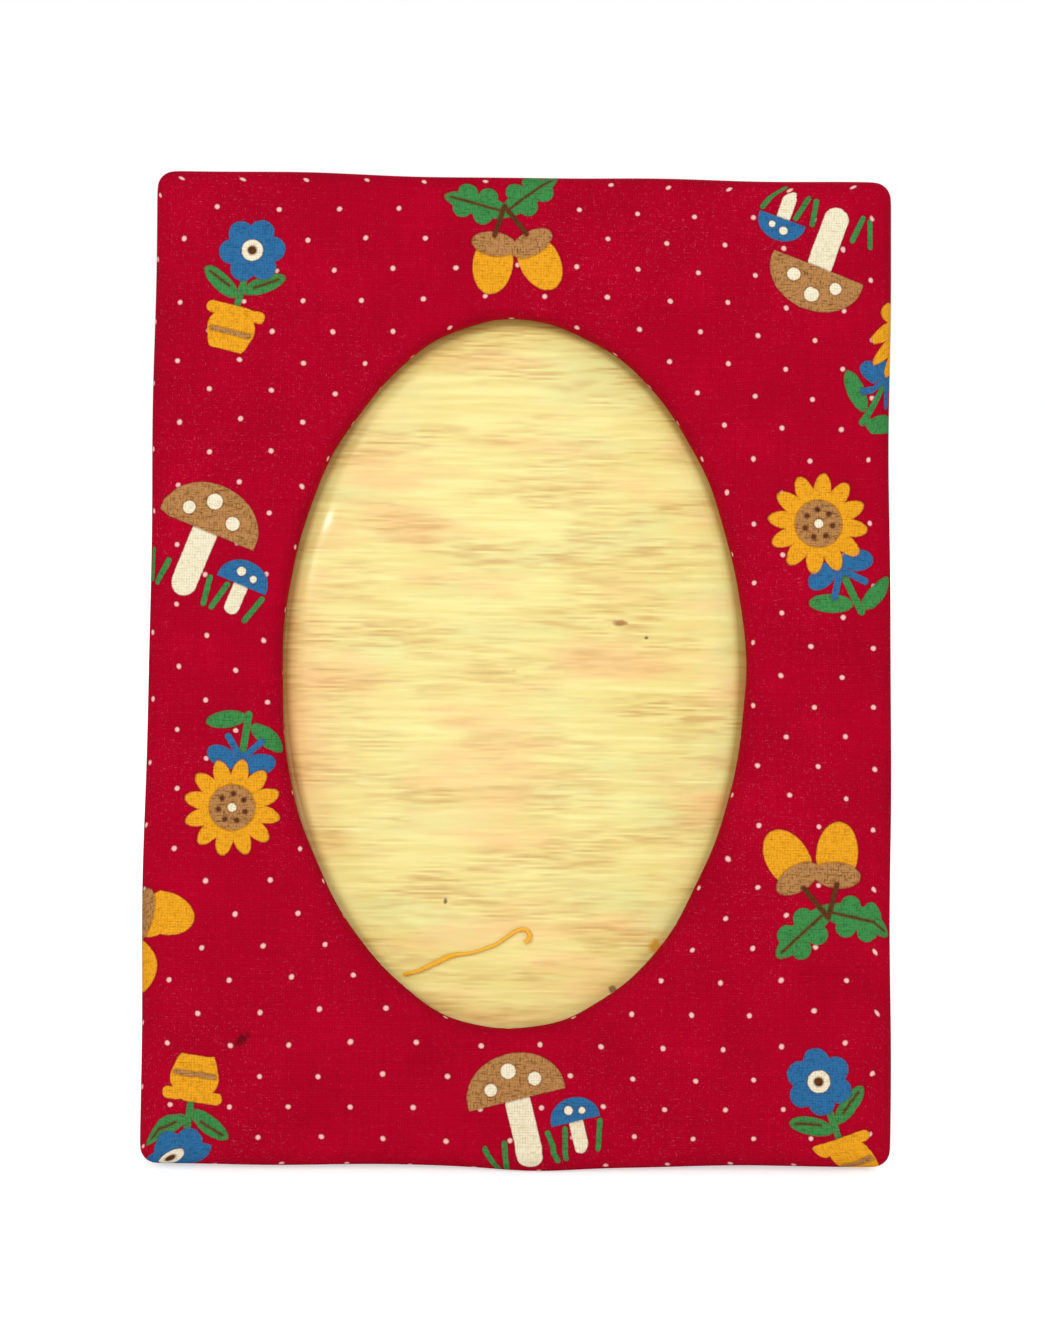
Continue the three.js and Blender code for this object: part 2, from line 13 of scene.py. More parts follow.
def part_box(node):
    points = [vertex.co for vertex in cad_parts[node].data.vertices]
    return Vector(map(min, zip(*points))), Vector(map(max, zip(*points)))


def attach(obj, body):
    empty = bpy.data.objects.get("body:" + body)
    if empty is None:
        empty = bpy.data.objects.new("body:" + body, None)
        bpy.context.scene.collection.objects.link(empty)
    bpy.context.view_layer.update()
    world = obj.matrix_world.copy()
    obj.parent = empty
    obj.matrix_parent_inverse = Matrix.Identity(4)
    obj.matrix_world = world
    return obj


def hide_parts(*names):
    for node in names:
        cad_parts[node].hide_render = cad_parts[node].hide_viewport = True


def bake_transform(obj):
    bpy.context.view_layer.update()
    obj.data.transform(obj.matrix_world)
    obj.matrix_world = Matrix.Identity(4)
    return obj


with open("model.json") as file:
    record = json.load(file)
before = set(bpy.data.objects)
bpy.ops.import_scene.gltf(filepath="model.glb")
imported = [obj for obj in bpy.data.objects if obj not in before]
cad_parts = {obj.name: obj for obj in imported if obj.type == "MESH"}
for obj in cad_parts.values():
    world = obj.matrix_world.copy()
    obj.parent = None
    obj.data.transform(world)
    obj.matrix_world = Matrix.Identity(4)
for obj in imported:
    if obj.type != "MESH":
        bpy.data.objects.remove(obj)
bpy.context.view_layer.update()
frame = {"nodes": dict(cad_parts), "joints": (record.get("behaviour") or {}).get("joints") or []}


# Front board
# Grey recycled board, cut out with the oval, that the wadding and the cotton are glued over.
# It is covered all round and shows only inside the pocket.

MM = 0.001


def linear(hex_colour):
    """An sRGB hex colour as linear RGBA."""
    channels = [int(hex_colour[i:i + 2], 16) / 255 for i in (1, 3, 5)]
    return [c / 12.92 if c <= 0.04045 else ((c + 0.055) / 1.055) ** 2.4 for c in channels] + [1.0]


def per_metre(size):
    """The scale of a pattern whose marks are size millimetres across."""
    return 1 / (size * MM)


def set_inputs(node, inputs):
    """Sets inputs, by name or in order, to a value, a hex colour, a socket or a node's first output."""
    for name, value in inputs.items() if isinstance(inputs, dict) else enumerate(inputs):
        if isinstance(value, str):
            value = linear(value)
        if isinstance(value, bpy.types.Node):
            value = value.outputs[0]
        if isinstance(value, bpy.types.NodeSocket):
            node.id_data.links.new(value, node.inputs[name])
        else:
            node.inputs[name].default_value = value


def add_node(tree, kind, inputs=(), **settings):
    """Adds a shader node with its settings and what feeds it."""
    node = tree.nodes.new("ShaderNode" + kind)
    for name, value in settings.items():
        setattr(node, name, value)
    set_inputs(node, inputs)
    return node


def new_material(name, on_cloth=False):
    """A material, what adds its nodes, its shader, and each point's place on the piece or flat cloth."""
    material = bpy.data.materials.new(name)
    material.use_nodes = True
    add = functools.partial(add_node, material.node_tree)
    if on_cloth:
        place = add("Attribute", attribute_name="cloth").outputs["Vector"]
    else:
        place = add("TexCoord").outputs["Object"]
    return material, add, material.node_tree.nodes["Principled BSDF"], place


def dress(node_name, material):
    """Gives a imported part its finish."""
    mesh = frame["nodes"][node_name].data
    mesh.materials.clear()
    mesh.materials.append(material)


# Greyboard: pulped waste paper, pressed and left raw, so it is matt and flecked with fibres.
FIBRE_LENGTH = 1.6
PULP_CLOUD = 7
greyboard, add, shader, place = new_material("greyboard")
cloud = add("TexNoise", {"Vector": place, "Scale": per_metre(PULP_CLOUD), "Detail": 5.0})
fibre = add("TexNoise", {"Vector": place, "Scale": per_metre(FIBRE_LENGTH), "Detail": 8.0,
                         "Distortion": 2.5})
flecks = add("MapRange", [fibre, 0.35, 0.68])
pulp = add("MixRGB", [flecks, "#6F675C", "#A89E8F"])
pulp = add("MixRGB", [cloud, pulp, "#8F8678"])
rough = add("Bump", {"Height": fibre, "Strength": 0.5, "Distance": 0.1 * MM})
set_inputs(shader, {"Base Color": pulp, "Roughness": 0.95, "Normal": rough})
dress("front_board", greyboard)


# Front wadding
# Bonded polyester wadding, a springy white fleece, cut to the board's outline and laid on its
# face. The cotton pulled over it gives the front its crown and its rolled edges.

slide = next(joint for joint in frame["joints"] if joint["name"] == "insert_slide")
up = Vector(slide["axis"])
rearwards = Vector((0, up.z, -up.y))


def extent(node_name, direction):
    """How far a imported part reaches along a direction, from its lowest to its highest point."""
    places = [vertex.co.dot(direction) for vertex in frame["nodes"][node_name].data.vertices]
    return min(places), max(places)


# The leaning panel: x to the right, depth behind the back cloth's rear face, height up the front.
panel_foot, panel_top = extent("front_cover", up)
panel_rear = extent("back_cloth", rearwards)[1]
panel = (Matrix.Translation(rearwards * panel_rear + up * panel_foot)
         @ Matrix((Vector((1, 0, 0)), rearwards, up)).transposed().to_4x4() @ Matrix.Scale(MM, 4))

FRONT_WIDTH = (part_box("front_cover")[1].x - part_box("front_cover")[0].x) / MM
FRONT_HEIGHT = (panel_top - panel_foot) / MM
FRONT_CORNER = 3.5
BORDER = 28.6
OVAL_MIDDLE = np.array([-1.4, FRONT_HEIGHT / 2 - 1.1])
OVAL_REACH = np.array([FRONT_WIDTH / 2 - BORDER, FRONT_HEIGHT / 2 - BORDER])
ROLL_START = -9.6
ROLL_HEIGHT = 3.4
OUTER_ROLL = 4
OVAL_ROLL = 3.6
CROWN = 0.4
COVER_DEPTH = 0.6
CORNER_STEPS = 4
SIDE_STEPS = 56
STATIONS = 4 * (CORNER_STEPS + SIDE_STEPS)
ROLL_ANGLES = np.radians(np.linspace(90, 0, 6))
CROWN_SHARES = np.linspace(0, 1, 16)[1:-1]
LUMP_DEPTH = 0.15
FOLD_FOOT = (59.5, 25)
FOLD_LEAN = 0.04
FOLD_WIDTH = 2.8
FOLD_TOP = 42
FOLD_FADE = 3
FOLD_DEPTH = 1.5


def rounded_loop(corners, radius, corner_steps, side_steps):
    """Points round four corners, each rounded off, anticlockwise from the top right."""
    corners = np.array(corners, float)
    arcs = []
    for i, corner in enumerate(corners):
        back, on = corners[i - 1] - corner, corners[(i + 1) % 4] - corner
        back, on = back / np.linalg.norm(back), on / np.linalg.norm(on)
        half = math.acos(back @ on) / 2
        middle = corner + (back + on) / np.linalg.norm(back + on) * radius / math.sin(half)
        start = corner + back * radius / math.tan(half) - middle
        turn = np.linspace(0, math.pi - 2 * half, corner_steps + 1)[:, None]
        arcs.append(middle + start * np.cos(turn) + np.array([-start[1], start[0]]) * np.sin(turn))
    loop = []
    for arc, after in zip(arcs, arcs[1:] + arcs[:1]):
        share = np.linspace(0, 1, side_steps + 1)[1:-1, None]
        loop += [arc, arc[-1] + share * (after[0] - arc[-1])]
    return np.concatenate(loop)


def front_loop(inset):
    """The front's outline, drawn in by inset."""
    x, low, high = FRONT_WIDTH / 2 - inset, inset, FRONT_HEIGHT - inset
    corners = [(x, high), (-x, high), (-x, low), (x, low)]
    return rounded_loop(corners, FRONT_CORNER, CORNER_STEPS, SIDE_STEPS)


def oval_loop(grow):
    """The oval, grown outwards, with one point for each point of the front's outline."""
    angle = math.pi / 4 + (np.arange(STATIONS) - CORNER_STEPS / 2) * 2 * math.pi / STATIONS
    return OVAL_MIDDLE + np.stack([np.cos(angle), np.sin(angle)], axis=1) * (OVAL_REACH + grow)


def at_depth(flat, depth):
    """Points on the panel from flat ones, as x, depth and height."""
    return np.stack([flat[:, 0], np.broadcast_to(depth, len(flat)), flat[:, 1]], axis=1)


def roll(width, inside):
    """The rolled edge from its end on the front down to its start, as drawn in and depth."""
    return np.stack([width - (width - inside) * np.cos(ROLL_ANGLES),
                     ROLL_START - (ROLL_HEIGHT - inside) * np.sin(ROLL_ANGLES)], axis=1)


def slack(flat):
    """One slack fold low on the right, from 0 beside it to 1 along its bottom."""
    x, height = flat[:, 0], flat[:, 1]
    beside = (x - FOLD_FOOT[0] - (height - FOLD_FOOT[1]) * FOLD_LEAN) / FOLD_WIDTH
    return np.exp(-beside ** 2) / (1 + np.exp((height - FOLD_TOP) / FOLD_FADE))


def lumps(flat):
    """The wadding's unevenness and the fold, as depths to add."""
    x, height = flat[:, 0], flat[:, 1]
    low = np.sin(x / 7.3 + 1.7 * np.sin(height / 19)) * np.sin(height / 8.1 + 1.1 * np.sin(x / 23))
    return LUMP_DEPTH * low + FOLD_DEPTH * slack(flat)


def crown_rows(outer_end, oval_end, depth):
    """Rows of points between the ends of the two rolls, over the low and lumpy crown."""
    flats = [outer_end + (oval_end - outer_end) * share for share in CROWN_SHARES]
    return [at_depth(flat, depth + lumps(flat) - CROWN * math.sin(math.pi * share) ** 2)
            for flat, share in zip(flats, CROWN_SHARES)]


def new_sheet(name, points, faces, place):
    """A smooth object from points and faces, moved to its place."""
    mesh = bpy.data.meshes.new(name)
    mesh.from_pydata(np.asarray(points).tolist(), [], faces)
    mesh.transform(place)
    mesh.polygons.foreach_set("use_smooth", [True] * len(faces))
    piece = bpy.data.objects.new(name, mesh)
    bpy.context.scene.collection.objects.link(piece)
    return piece


def row_faces(rows, count, closed_rows, closed_ring=False):
    """Quads between rows of so many matching points; the rows, or the ring of rows, may close."""
    faces = []
    for row in range(rows if closed_ring else rows - 1):
        near, far = row * count, (row + 1) % rows * count
        faces += [(near + i, near + (i + 1) % count, far + (i + 1) % count, far + i)
                  for i in range(count if closed_rows else count - 1)]
    return faces


outer = [at_depth(front_loop(inset), depth) for inset, depth in roll(OUTER_ROLL, COVER_DEPTH)[::-1]]
oval = [at_depth(oval_loop(grow), depth) for grow, depth in roll(OVAL_ROLL, COVER_DEPTH)]
crown = crown_rows(outer[-1][:, [0, 2]], oval[0][:, [0, 2]], ROLL_START - ROLL_HEIGHT + COVER_DEPTH)
rows = outer + crown + oval
wadding = new_sheet("padding", np.concatenate(rows), row_faces(len(rows), STATIONS, True, True), panel)

# Polyester wadding: crimped white fibres bonded in a fleece, so it is matt, soft and cloudy.
FLEECE_CLUMP = 4
FLEECE_FIBRE = 0.5
fleece, add, shader, place = new_material("polyester_wadding")
clump = add("TexNoise", {"Vector": place, "Scale": per_metre(FLEECE_CLUMP), "Detail": 6.0})
crimp = add("TexNoise", {"Vector": place, "Scale": per_metre(FLEECE_FIBRE), "Detail": 3.0,
                         "Distortion": 3.0})
white = add("MixRGB", [clump, "#DAD6CC", "#F6F4EE"])
fluff = add("Bump", {"Height": crimp, "Strength": 0.8, "Distance": 0.3 * MM})
set_inputs(shader, {"Base Color": white, "Roughness": 1.0, "Sheen Weight": 0.4, "Normal": fluff})
wadding.data.materials.append(fleece)
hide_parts("front_wadding")
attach(wadding, "frame")


# Front cover
# Printed cotton, red with white pin dots and garden motifs, pulled over the wadding, rolled round
# the outer edge and through the oval, and glued down as a hem behind the board.

CLOTH_THICKNESS = 0.4
HEM_REAR = -6.8
EDGE_ROUND = 0.7
OUTER_HEM = 12
OVAL_HEM = 9
HEM_ROWS = 4
EDGE_ANGLES = np.radians([45, 90])


def edge_section(roll_width, hem):
    """The cotton's section from the front, over the roll and round to the hem's end."""
    side = [(0, depth) for depth in np.linspace(ROLL_START, HEM_REAR - EDGE_ROUND, 3)[1:]]
    turn = [(EDGE_ROUND * (1 - math.cos(a)), HEM_REAR - EDGE_ROUND * (1 - math.sin(a)))
            for a in EDGE_ANGLES]
    flap = [(inset, HEM_REAR) for inset in np.linspace(EDGE_ROUND, hem, HEM_ROWS)[1:]]
    return np.concatenate([roll(roll_width, 0), side, turn, flap])


def lengths_along(section):
    """How far along a section each of its points is."""
    return np.concatenate([[0], np.cumsum(np.linalg.norm(np.diff(section, axis=0), axis=1))])


def outward(loop):
    """Unit normals that point out of a flat anticlockwise loop."""
    along = np.roll(loop, -1, axis=0) - np.roll(loop, 1, axis=0)
    normal = np.stack([along[:, 1], -along[:, 0]], axis=1)
    return normal / np.linalg.norm(normal, axis=1, keepdims=True)


def ripple(waves):
    """A sum of sines round the frame, given as cycles, size and phase."""
    share = np.arange(STATIONS) / STATIONS
    return sum(size * np.sin(2 * math.pi * cycles * share + phase) for cycles, size, phase in waves)


# How far the hand-cut outline and the oval stray from true, and where the cotton sags at the foot.
outline_stray = ripple([(5, 0.14, 0.4), (9, 0.16, 2.1), (17, 0.08, 5.0)])
oval_stray = ripple([(4, 0.14, 1.0), (7, 0.16, 3.9), (13, 0.12, 0.6), (23, 0.07, 2.0)])
SAG_X, SAG_WIDTH, SAG_DEPTH = 4, 11, 0.9
edge = front_loop(0)
sag = np.exp(-((edge[:, 0] - SAG_X) / SAG_WIDTH) ** 2) * (edge[:, 1] < 1) * SAG_DEPTH
outer_out, oval_in = outward(edge), -outward(oval_loop(0))

rows, flats = [], []
section = edge_section(OUTER_ROLL, OUTER_HEM)
outer_end = front_loop(OUTER_ROLL)
for (inset, depth), far in list(zip(section, lengths_along(section)))[::-1]:
    sagging = min(1, max(0, (HEM_REAR - depth) / (HEM_REAR - ROLL_START)))
    rows.append(at_depth(front_loop(inset) + outer_out * (outline_stray + sag * sagging)[:, None], depth))
    flats.append(outer_end + outer_out * far)
held_rows = [*range(len(rows) - len(ROLL_ANGLES) + 1)]
section = edge_section(OVAL_ROLL, OVAL_HEM)
oval_end = oval_loop(OVAL_ROLL) + oval_in * oval_stray[:, None]
crown = crown_rows(rows[-1][:, [0, 2]], oval_end, ROLL_START - ROLL_HEIGHT)
rows += crown
flats += [row[:, [0, 2]] for row in crown]
held_rows += [*range(len(rows) + len(ROLL_ANGLES) - 1, len(rows) + len(section))]
for (grow, depth), far in zip(section, lengths_along(section)):
    rows.append(at_depth(oval_loop(grow) + oval_in * oval_stray[:, None], depth))
    flats.append(oval_end + oval_in * far)
cover = new_sheet("printed_cover", np.concatenate(rows), row_faces(len(rows), STATIONS, True), panel)


def keep_flat_place(piece, flat):
    """Keeps each point's place on the flat cloth, in metres, for the weave and the print."""
    attribute = piece.data.attributes.new("cloth", "FLOAT_VECTOR", "POINT")
    place = np.concatenate([flat * MM, np.zeros((len(flat), 1))], axis=1)
    attribute.data.foreach_set("vector", place.astype(np.float32).ravel())


def make_active(piece):
    """Makes a piece the one that operators act on."""
    bpy.ops.object.select_all(action="DESELECT")
    bpy.context.view_layer.objects.active = piece
    piece.select_set(True)


def apply_modifier(piece, kind, **settings):
    """Adds a modifier to a piece and applies it."""
    modifier = piece.modifiers.new(kind.lower(), kind)
    for name, value in settings.items():
        setattr(modifier, name, value)
    make_active(piece)
    bpy.ops.object.modifier_apply(modifier=modifier.name)


def point_places(piece):
    """The places of a mesh's points, in metres."""
    places = np.empty(len(piece.data.vertices) * 3, np.float32)
    piece.data.vertices.foreach_get("co", places)
    return places.reshape(-1, 3)


# The springy wadding presses the cotton out while its sides, hems and fold are held. The solver
# suits bodies some metres wide, so it runs with a metre for each centimetre.
SOLVER_SCALE = 100
SOLVER_FRAMES = 16
PRESSURE = 0.035
MOST_MOVED = 1.0
FOLD_HELD = 0.4
FIRM_COTTON = {"quality": 8, "tension_stiffness": 40, "compression_stiffness": 40,
               "bending_stiffness": 2, "air_damping": 6}


def swell(cloth, held):
    """Lets the cloth swell outwards from where it is, with the held points fixed."""
    before = point_places(cloth)
    cloth.data.transform(Matrix.Scale(SOLVER_SCALE, 4))
    cloth.vertex_groups.new(name="held").add(held, 1.0, "REPLACE")
    fabric = cloth.modifiers.new("fabric", "CLOTH")
    fabric.settings.vertex_group_mass = "held"
    fabric.settings.effector_weights.gravity = 0
    fabric.settings.use_pressure = True
    fabric.settings.uniform_pressure_force = PRESSURE
    for name, value in FIRM_COTTON.items():
        setattr(fabric.settings, name, value)
    fabric.collision_settings.use_collision = False
    fabric.point_cache.frame_end = SOLVER_FRAMES
    for number in range(1, SOLVER_FRAMES + 1):
        bpy.context.scene.frame_set(number)
    make_active(cloth)
    bpy.ops.object.modifier_apply(modifier=fabric.name)
    cloth.vertex_groups.clear()
    bpy.context.scene.frame_set(1)
    cloth.data.transform(Matrix.Scale(1 / SOLVER_SCALE, 4))
    moved = point_places(cloth) - before
    far = np.linalg.norm(moved, axis=1, keepdims=True)
    moved *= np.minimum(1, MOST_MOVED * MM / np.maximum(far, 1e-9))
    cloth.data.vertices.foreach_set("co", (before + moved).ravel())


keep_flat_place(cover, np.concatenate(flats))
held = {row * STATIONS + i for row in held_rows for i in range(STATIONS)}
held.update(np.flatnonzero(slack(np.concatenate(rows)[:, [0, 2]]) > FOLD_HELD).tolist())
swell(cover, sorted(held))
apply_modifier(cover, "SUBSURF", levels=1, render_levels=1)
flat = np.empty(len(cover.data.vertices) * 3, np.float32)
cover.data.attributes["cloth"].data.foreach_get("vector", flat)
flat = flat.reshape(-1, 3)[:, :2].astype(float) / MM


# Where each motif is printed: x and height from the front's middle, its turn and its size. Every
# face keeps its corners' places about the middle of the nearest motif of each kind.
LAYOUT = {
    "toadstools": [(59, 84, 160, 0.95), (-63, 25, -22, 1.0), (2, -88, 14, 0.95)],
    "potted_flower": [(-58, 76, -14, 1.0), (-66, -92, 172, 1.0), (64, -92, 20, 1.0)],
    "acorns": [(-3, 88, 12, 0.95), (61, -44, 195, 1.0), (-80, -52, 60, 1.0)],
    "sunflower": [(63, 24, 24, 1.0), (-57, -24, 168, 0.95), (78, 62, -40, 1.0)],
}
corner_points = np.empty(len(cover.data.loops), np.int32)
cover.data.loops.foreach_get("vertex_index", corner_points)
corner_places = flat[corner_points].reshape(-1, 4, 2)
for motif, copies in LAYOUT.items():
    middles = np.array([(x, height + FRONT_HEIGHT / 2) for x, height, _, _ in copies])
    nearest = np.linalg.norm(corner_places.mean(axis=1)[:, None] - middles, axis=2).argmin(axis=1)
    own_places = np.zeros((len(corner_places), 4, 3), np.float32)
    for number, (_, _, degrees, size) in enumerate(copies):
        a = math.radians(degrees)
        turn = np.array([[math.cos(a), -math.sin(a)], [math.sin(a), math.cos(a)]])
        chosen = nearest == number
        own_places[chosen, :, :2] = (corner_places[chosen] - middles[number]) @ turn / size
    attribute = cover.data.attributes.new(motif, "FLOAT_VECTOR", "CORNER")
    attribute.data.foreach_set("vector", own_places.ravel())
apply_modifier(cover, "SOLIDIFY", thickness=CLOTH_THICKNESS * MM, offset=-1)


def plain_weave(add, place, thread):
    """The height of a plain weave, whose threads pass over and under each other in turn."""
    split = add("SeparateXYZ", {"Vector": place})
    waves = []
    for axis in ("X", "Y"):
        turn = add("Math", [split.outputs[axis], math.pi * per_metre(thread)], operation="MULTIPLY")
        waves.append(add("Math", [turn], operation="SINE"))
    crossing = add("Math", waves, operation="MULTIPLY")
    return add("Math", [crossing], operation="ABSOLUTE")


def drawn_out(add, place, width, height, detail, start=0.0):
    """Noise whose marks are so wide and so high; patterns with different starts don't agree."""
    drawn = add("Mapping", {"Vector": place, "Location": [start, start, start],
                            "Scale": [per_metre(width), per_metre(height), 1]})
    return add("TexNoise", {"Vector": drawn, "Scale": 1.0, "Detail": detail})


def from_spot(add, place, middle, reach, degrees=0, unit=MM):
    """How far points are from a spot's middle, as a share of its reach along its turn and across it."""
    turned = add("Mapping", {"Vector": place, "Location": [middle[0] * unit, middle[1] * unit, 0],
                             "Rotation": [0, 0, math.radians(degrees)],
                             "Scale": [reach[0] * unit, reach[1] * unit, 1]}, vector_type="TEXTURE")
    return add("VectorMath", [turned], operation="LENGTH").outputs["Value"]


def dyed_threads(add, place, thread, dark, light):
    """A colour that is uneven from thread to thread, both ways, and cloudy as hand-worn cloth is."""
    weft = drawn_out(add, place, 14, thread, 2.0)
    warp = drawn_out(add, place, thread, 14, 2.0)
    dye = add("MixRGB", [weft, dark, light])
    dye = add("MixRGB", [warp, dark, dye])
    mottle = drawn_out(add, place, 16, 16, 4.0)
    shade = add("MapRange", [mottle, 0.3, 0.7, 0.9, 1.08])
    return add("MixRGB", [1.0, dye, shade], blend_type="MULTIPLY")


# Printed cotton: plain weave, matt, with lint caught in it. The dye is uneven from thread to
# thread and the inks sit on the threads, so that their edges follow the weave.
# The real weave has a thread every 0.42 mm. It is drawn at 0.55 mm, so that it shows.
THREAD = 0.55
LINT = (0.9, 0.16)
DOT_STEP = (12.35, 12.6)
DOT_START = (4.3, 100.6)
DOT_RADIUS = 0.48
DOT_PULL = 6
PULL_STEP = 45
RAG = 0.8
cotton, add, shader, place = new_material("printed_cotton", on_cloth=True)
weave = plain_weave(add, place, THREAD)
colour = dyed_threads(add, place, THREAD, "#A30020", "#C0062C")
rubbed = drawn_out(add, place, 30, 45, 2.0, 6.1)
rubbed = add("MapRange", [rubbed, 0.4, 0.65, 0.1, 0.42])
for width, height, start in (LINT[0], LINT[1], 3.7), (LINT[1], LINT[0], 8.2):
    lint = drawn_out(add, place, width, height, 1.0, start)
    lint = add("MapRange", [lint, 0.68, 0.82])
    lint = add("Math", [lint, rubbed], operation="MULTIPLY")
    colour = add("MixRGB", [lint, colour, "#E8788C"])

# Pin dots stand on two square lattices, one in the middle of the other, pulled about as cloth is.
pull = add("TexNoise", {"Vector": place, "Scale": per_metre(PULL_STEP), "Detail": 1.0})
pull = add("VectorMath", [pull.outputs["Color"], [0.5, 0.5, 0.5]], operation="SUBTRACT")
pull = add("VectorMath", {0: pull, "Scale": DOT_PULL * MM}, operation="SCALE")
pulled = add("VectorMath", [place, pull], operation="ADD")
nearest = []
for half in (0, 0.5):
    start = [0.5 + half - DOT_START[k] / DOT_STEP[k] for k in (0, 1)] + [0]
    cell = add("Mapping", {"Vector": pulled, "Location": start,
                           "Scale": [per_metre(DOT_STEP[0]), per_metre(DOT_STEP[1]), 0]})
    cell = add("VectorMath", [cell], operation="FRACTION")
    cell = add("VectorMath", [cell, [0.5, 0.5, 0]], operation="SUBTRACT")
    cell = add("VectorMath", [cell, [*DOT_STEP, 0]], operation="MULTIPLY")
    nearest.append(add("VectorMath", [cell], operation="LENGTH").outputs["Value"])
to_dot = add("Math", nearest, operation="MINIMUM")
to_dot = add("Math", [to_dot, DOT_RADIUS], operation="SUBTRACT")
ragged = add("TexNoise", {"Vector": place, "Scale": per_metre(RAG), "Detail": 2.0})


def inked(colour, distance, ink, rag, soft):
    """Lays an ink over a colour where a distance is below zero, with a darker rim round it."""
    stray = add("MapRange", [ragged, 0, 1, -rag, rag])
    distance = add("Math", [distance, stray], operation="ADD")
    rim = add("MapRange", [distance, 0.4, 0.1, 0, 0.45])
    rimmed = add("MixRGB", [rim, colour, "#5E0A14"])
    laid = add("MapRange", [distance, soft, -soft])
    return add("MixRGB", [laid, rimmed, ink])


colour = inked(colour, to_dot, "#FBBDB6", 0.08, 0.16)


# The motifs' shapes, each as the distance to it in millimetres, below zero inside.
def disc(p, x, height, radius):
    """A round spot."""
    away = add("VectorMath", [p, [x, height, 0]], operation="DISTANCE")
    return add("Math", [away.outputs["Value"], radius], operation="SUBTRACT")


def leaf(p, x, height, length, width, degrees):
    """An oval that lies along a direction."""
    away = from_spot(add, p, (x, height), (length / 2, width / 2), degrees, unit=1)
    return add("MapRange", [away, 0, 1, -width / 2, 0.0], clamp=False)


def stroke(p, start, end, width):
    """A straight brush stroke with round ends."""
    run, rise = end[0] - start[0], end[1] - start[1]
    turned = add("Mapping", {"Vector": p, "Location": [*start, 0],
                             "Rotation": [0, 0, math.atan2(rise, run)]}, vector_type="TEXTURE")
    line = add("VectorMath", [turned, [0, 0, 0]], operation="MAXIMUM")
    line = add("VectorMath", [line, [math.hypot(run, rise), 0, 0]], operation="MINIMUM")
    away = add("VectorMath", [turned, line], operation="DISTANCE")
    return add("Math", [away.outputs["Value"], width / 2], operation="SUBTRACT")


def above(p, height, shape):
    """The part of a shape above a height."""
    own = add("SeparateXYZ", {"Vector": p}).outputs["Y"]
    drop = add("Math", [height, own], operation="SUBTRACT")
    return add("Math", [shape, drop], operation="MAXIMUM")


def ring_of(count, start_degrees):
    """So many angles, evenly spaced round a ring."""
    return [math.radians(start_degrees + i * 360 / count) for i in range(count)]


def toadstools(p):
    return {
        "cream_stem": [stroke(p, (-2, -10.5), (-2, 0), 5.4), stroke(p, (9, -11.4), (9, -7), 3)],
        "green": [stroke(p, (x, -13), (x + lean, -7.6), 1.1)
                  for x, lean in ((-9, -2), (-7.4, 0.6), (3.4, -0.8), (5.2, 1.2), (12.4, 1.6))],
        "blue": [above(p, -6.6, leaf(p, 9, -6, 10.5, 9, 0))],
        "tan": [above(p, 0.8, leaf(p, -2, 2, 21, 17, 0))],
        "cream": [disc(p, x, height, radius) for x, height, radius in
                  ((-7, 4, 1.3), (-2.5, 7, 1.6), (2.6, 4.2, 1.4), (8, -4, 0.9), (10.8, -4.6, 0.7))],
    }


def potted_flower(p):
    petals = [disc(p, 4.2 * math.cos(a), 8.5 + 4.2 * math.sin(a), 2.6) for a in ring_of(6, 18)]
    return {
        "green": [stroke(p, (0, -4), (0, 6), 1.3), leaf(p, -4.4, 0.6, 9, 3.6, 150),
                  leaf(p, 4.2, 2.2, 9, 3.4, 35)],
        "blue": petals,
        "gold": [above(p, -12.8, stroke(p, (-0.6, -10.4), (-1.3, -8.2), 7.2)),
                 above(p, -12.8, stroke(p, (0.6, -10.4), (1.3, -8.2), 7.2)),
                 stroke(p, (-4.9, -4.7), (4.9, -4.7), 2.4)],
        "tan": [stroke(p, (-3.9, -9), (3.9, -9), 0.9)],
        "cream": [disc(p, 0, 8.5, 2.2)],
        "brown": [disc(p, 0, 8.5, 0.9), stroke(p, (-2.6, 0.2), (-7.2, 2.2), 0.35),
                  stroke(p, (2.4, 1), (6.8, 4), 0.35)],
    }


def acorns(p):
    lobes = [disc(p, side * x, height, 2.1) for side in (-1, 1)
             for x, height in ((3, 9.8), (5, 5.9), (7, 11.8), (9, 8.4))]
    return {
        "green": [leaf(p, side * 5.5, 8.5, 15, 5, 90 - side * 62) for side in (-1, 1)] + lobes,
        "gold": [leaf(p, -5, -5, 13, 8.6, 70), leaf(p, 5, -6.5, 13, 8.6, 108)],
        "tan": [leaf(p, -3.9, -0.8, 9.6, 5.2, -20), leaf(p, 4.1, -2.2, 9.6, 5.2, 18)],
        "brown": [stroke(p, (-3.4, 1), (0, 7), 1.0), stroke(p, (3.4, 0), (0, 7), 1.0),
                  stroke(p, (-1, 6.2), (-11, 11.4), 0.4), stroke(p, (1, 6.2), (11, 11.4), 0.4)],
    }


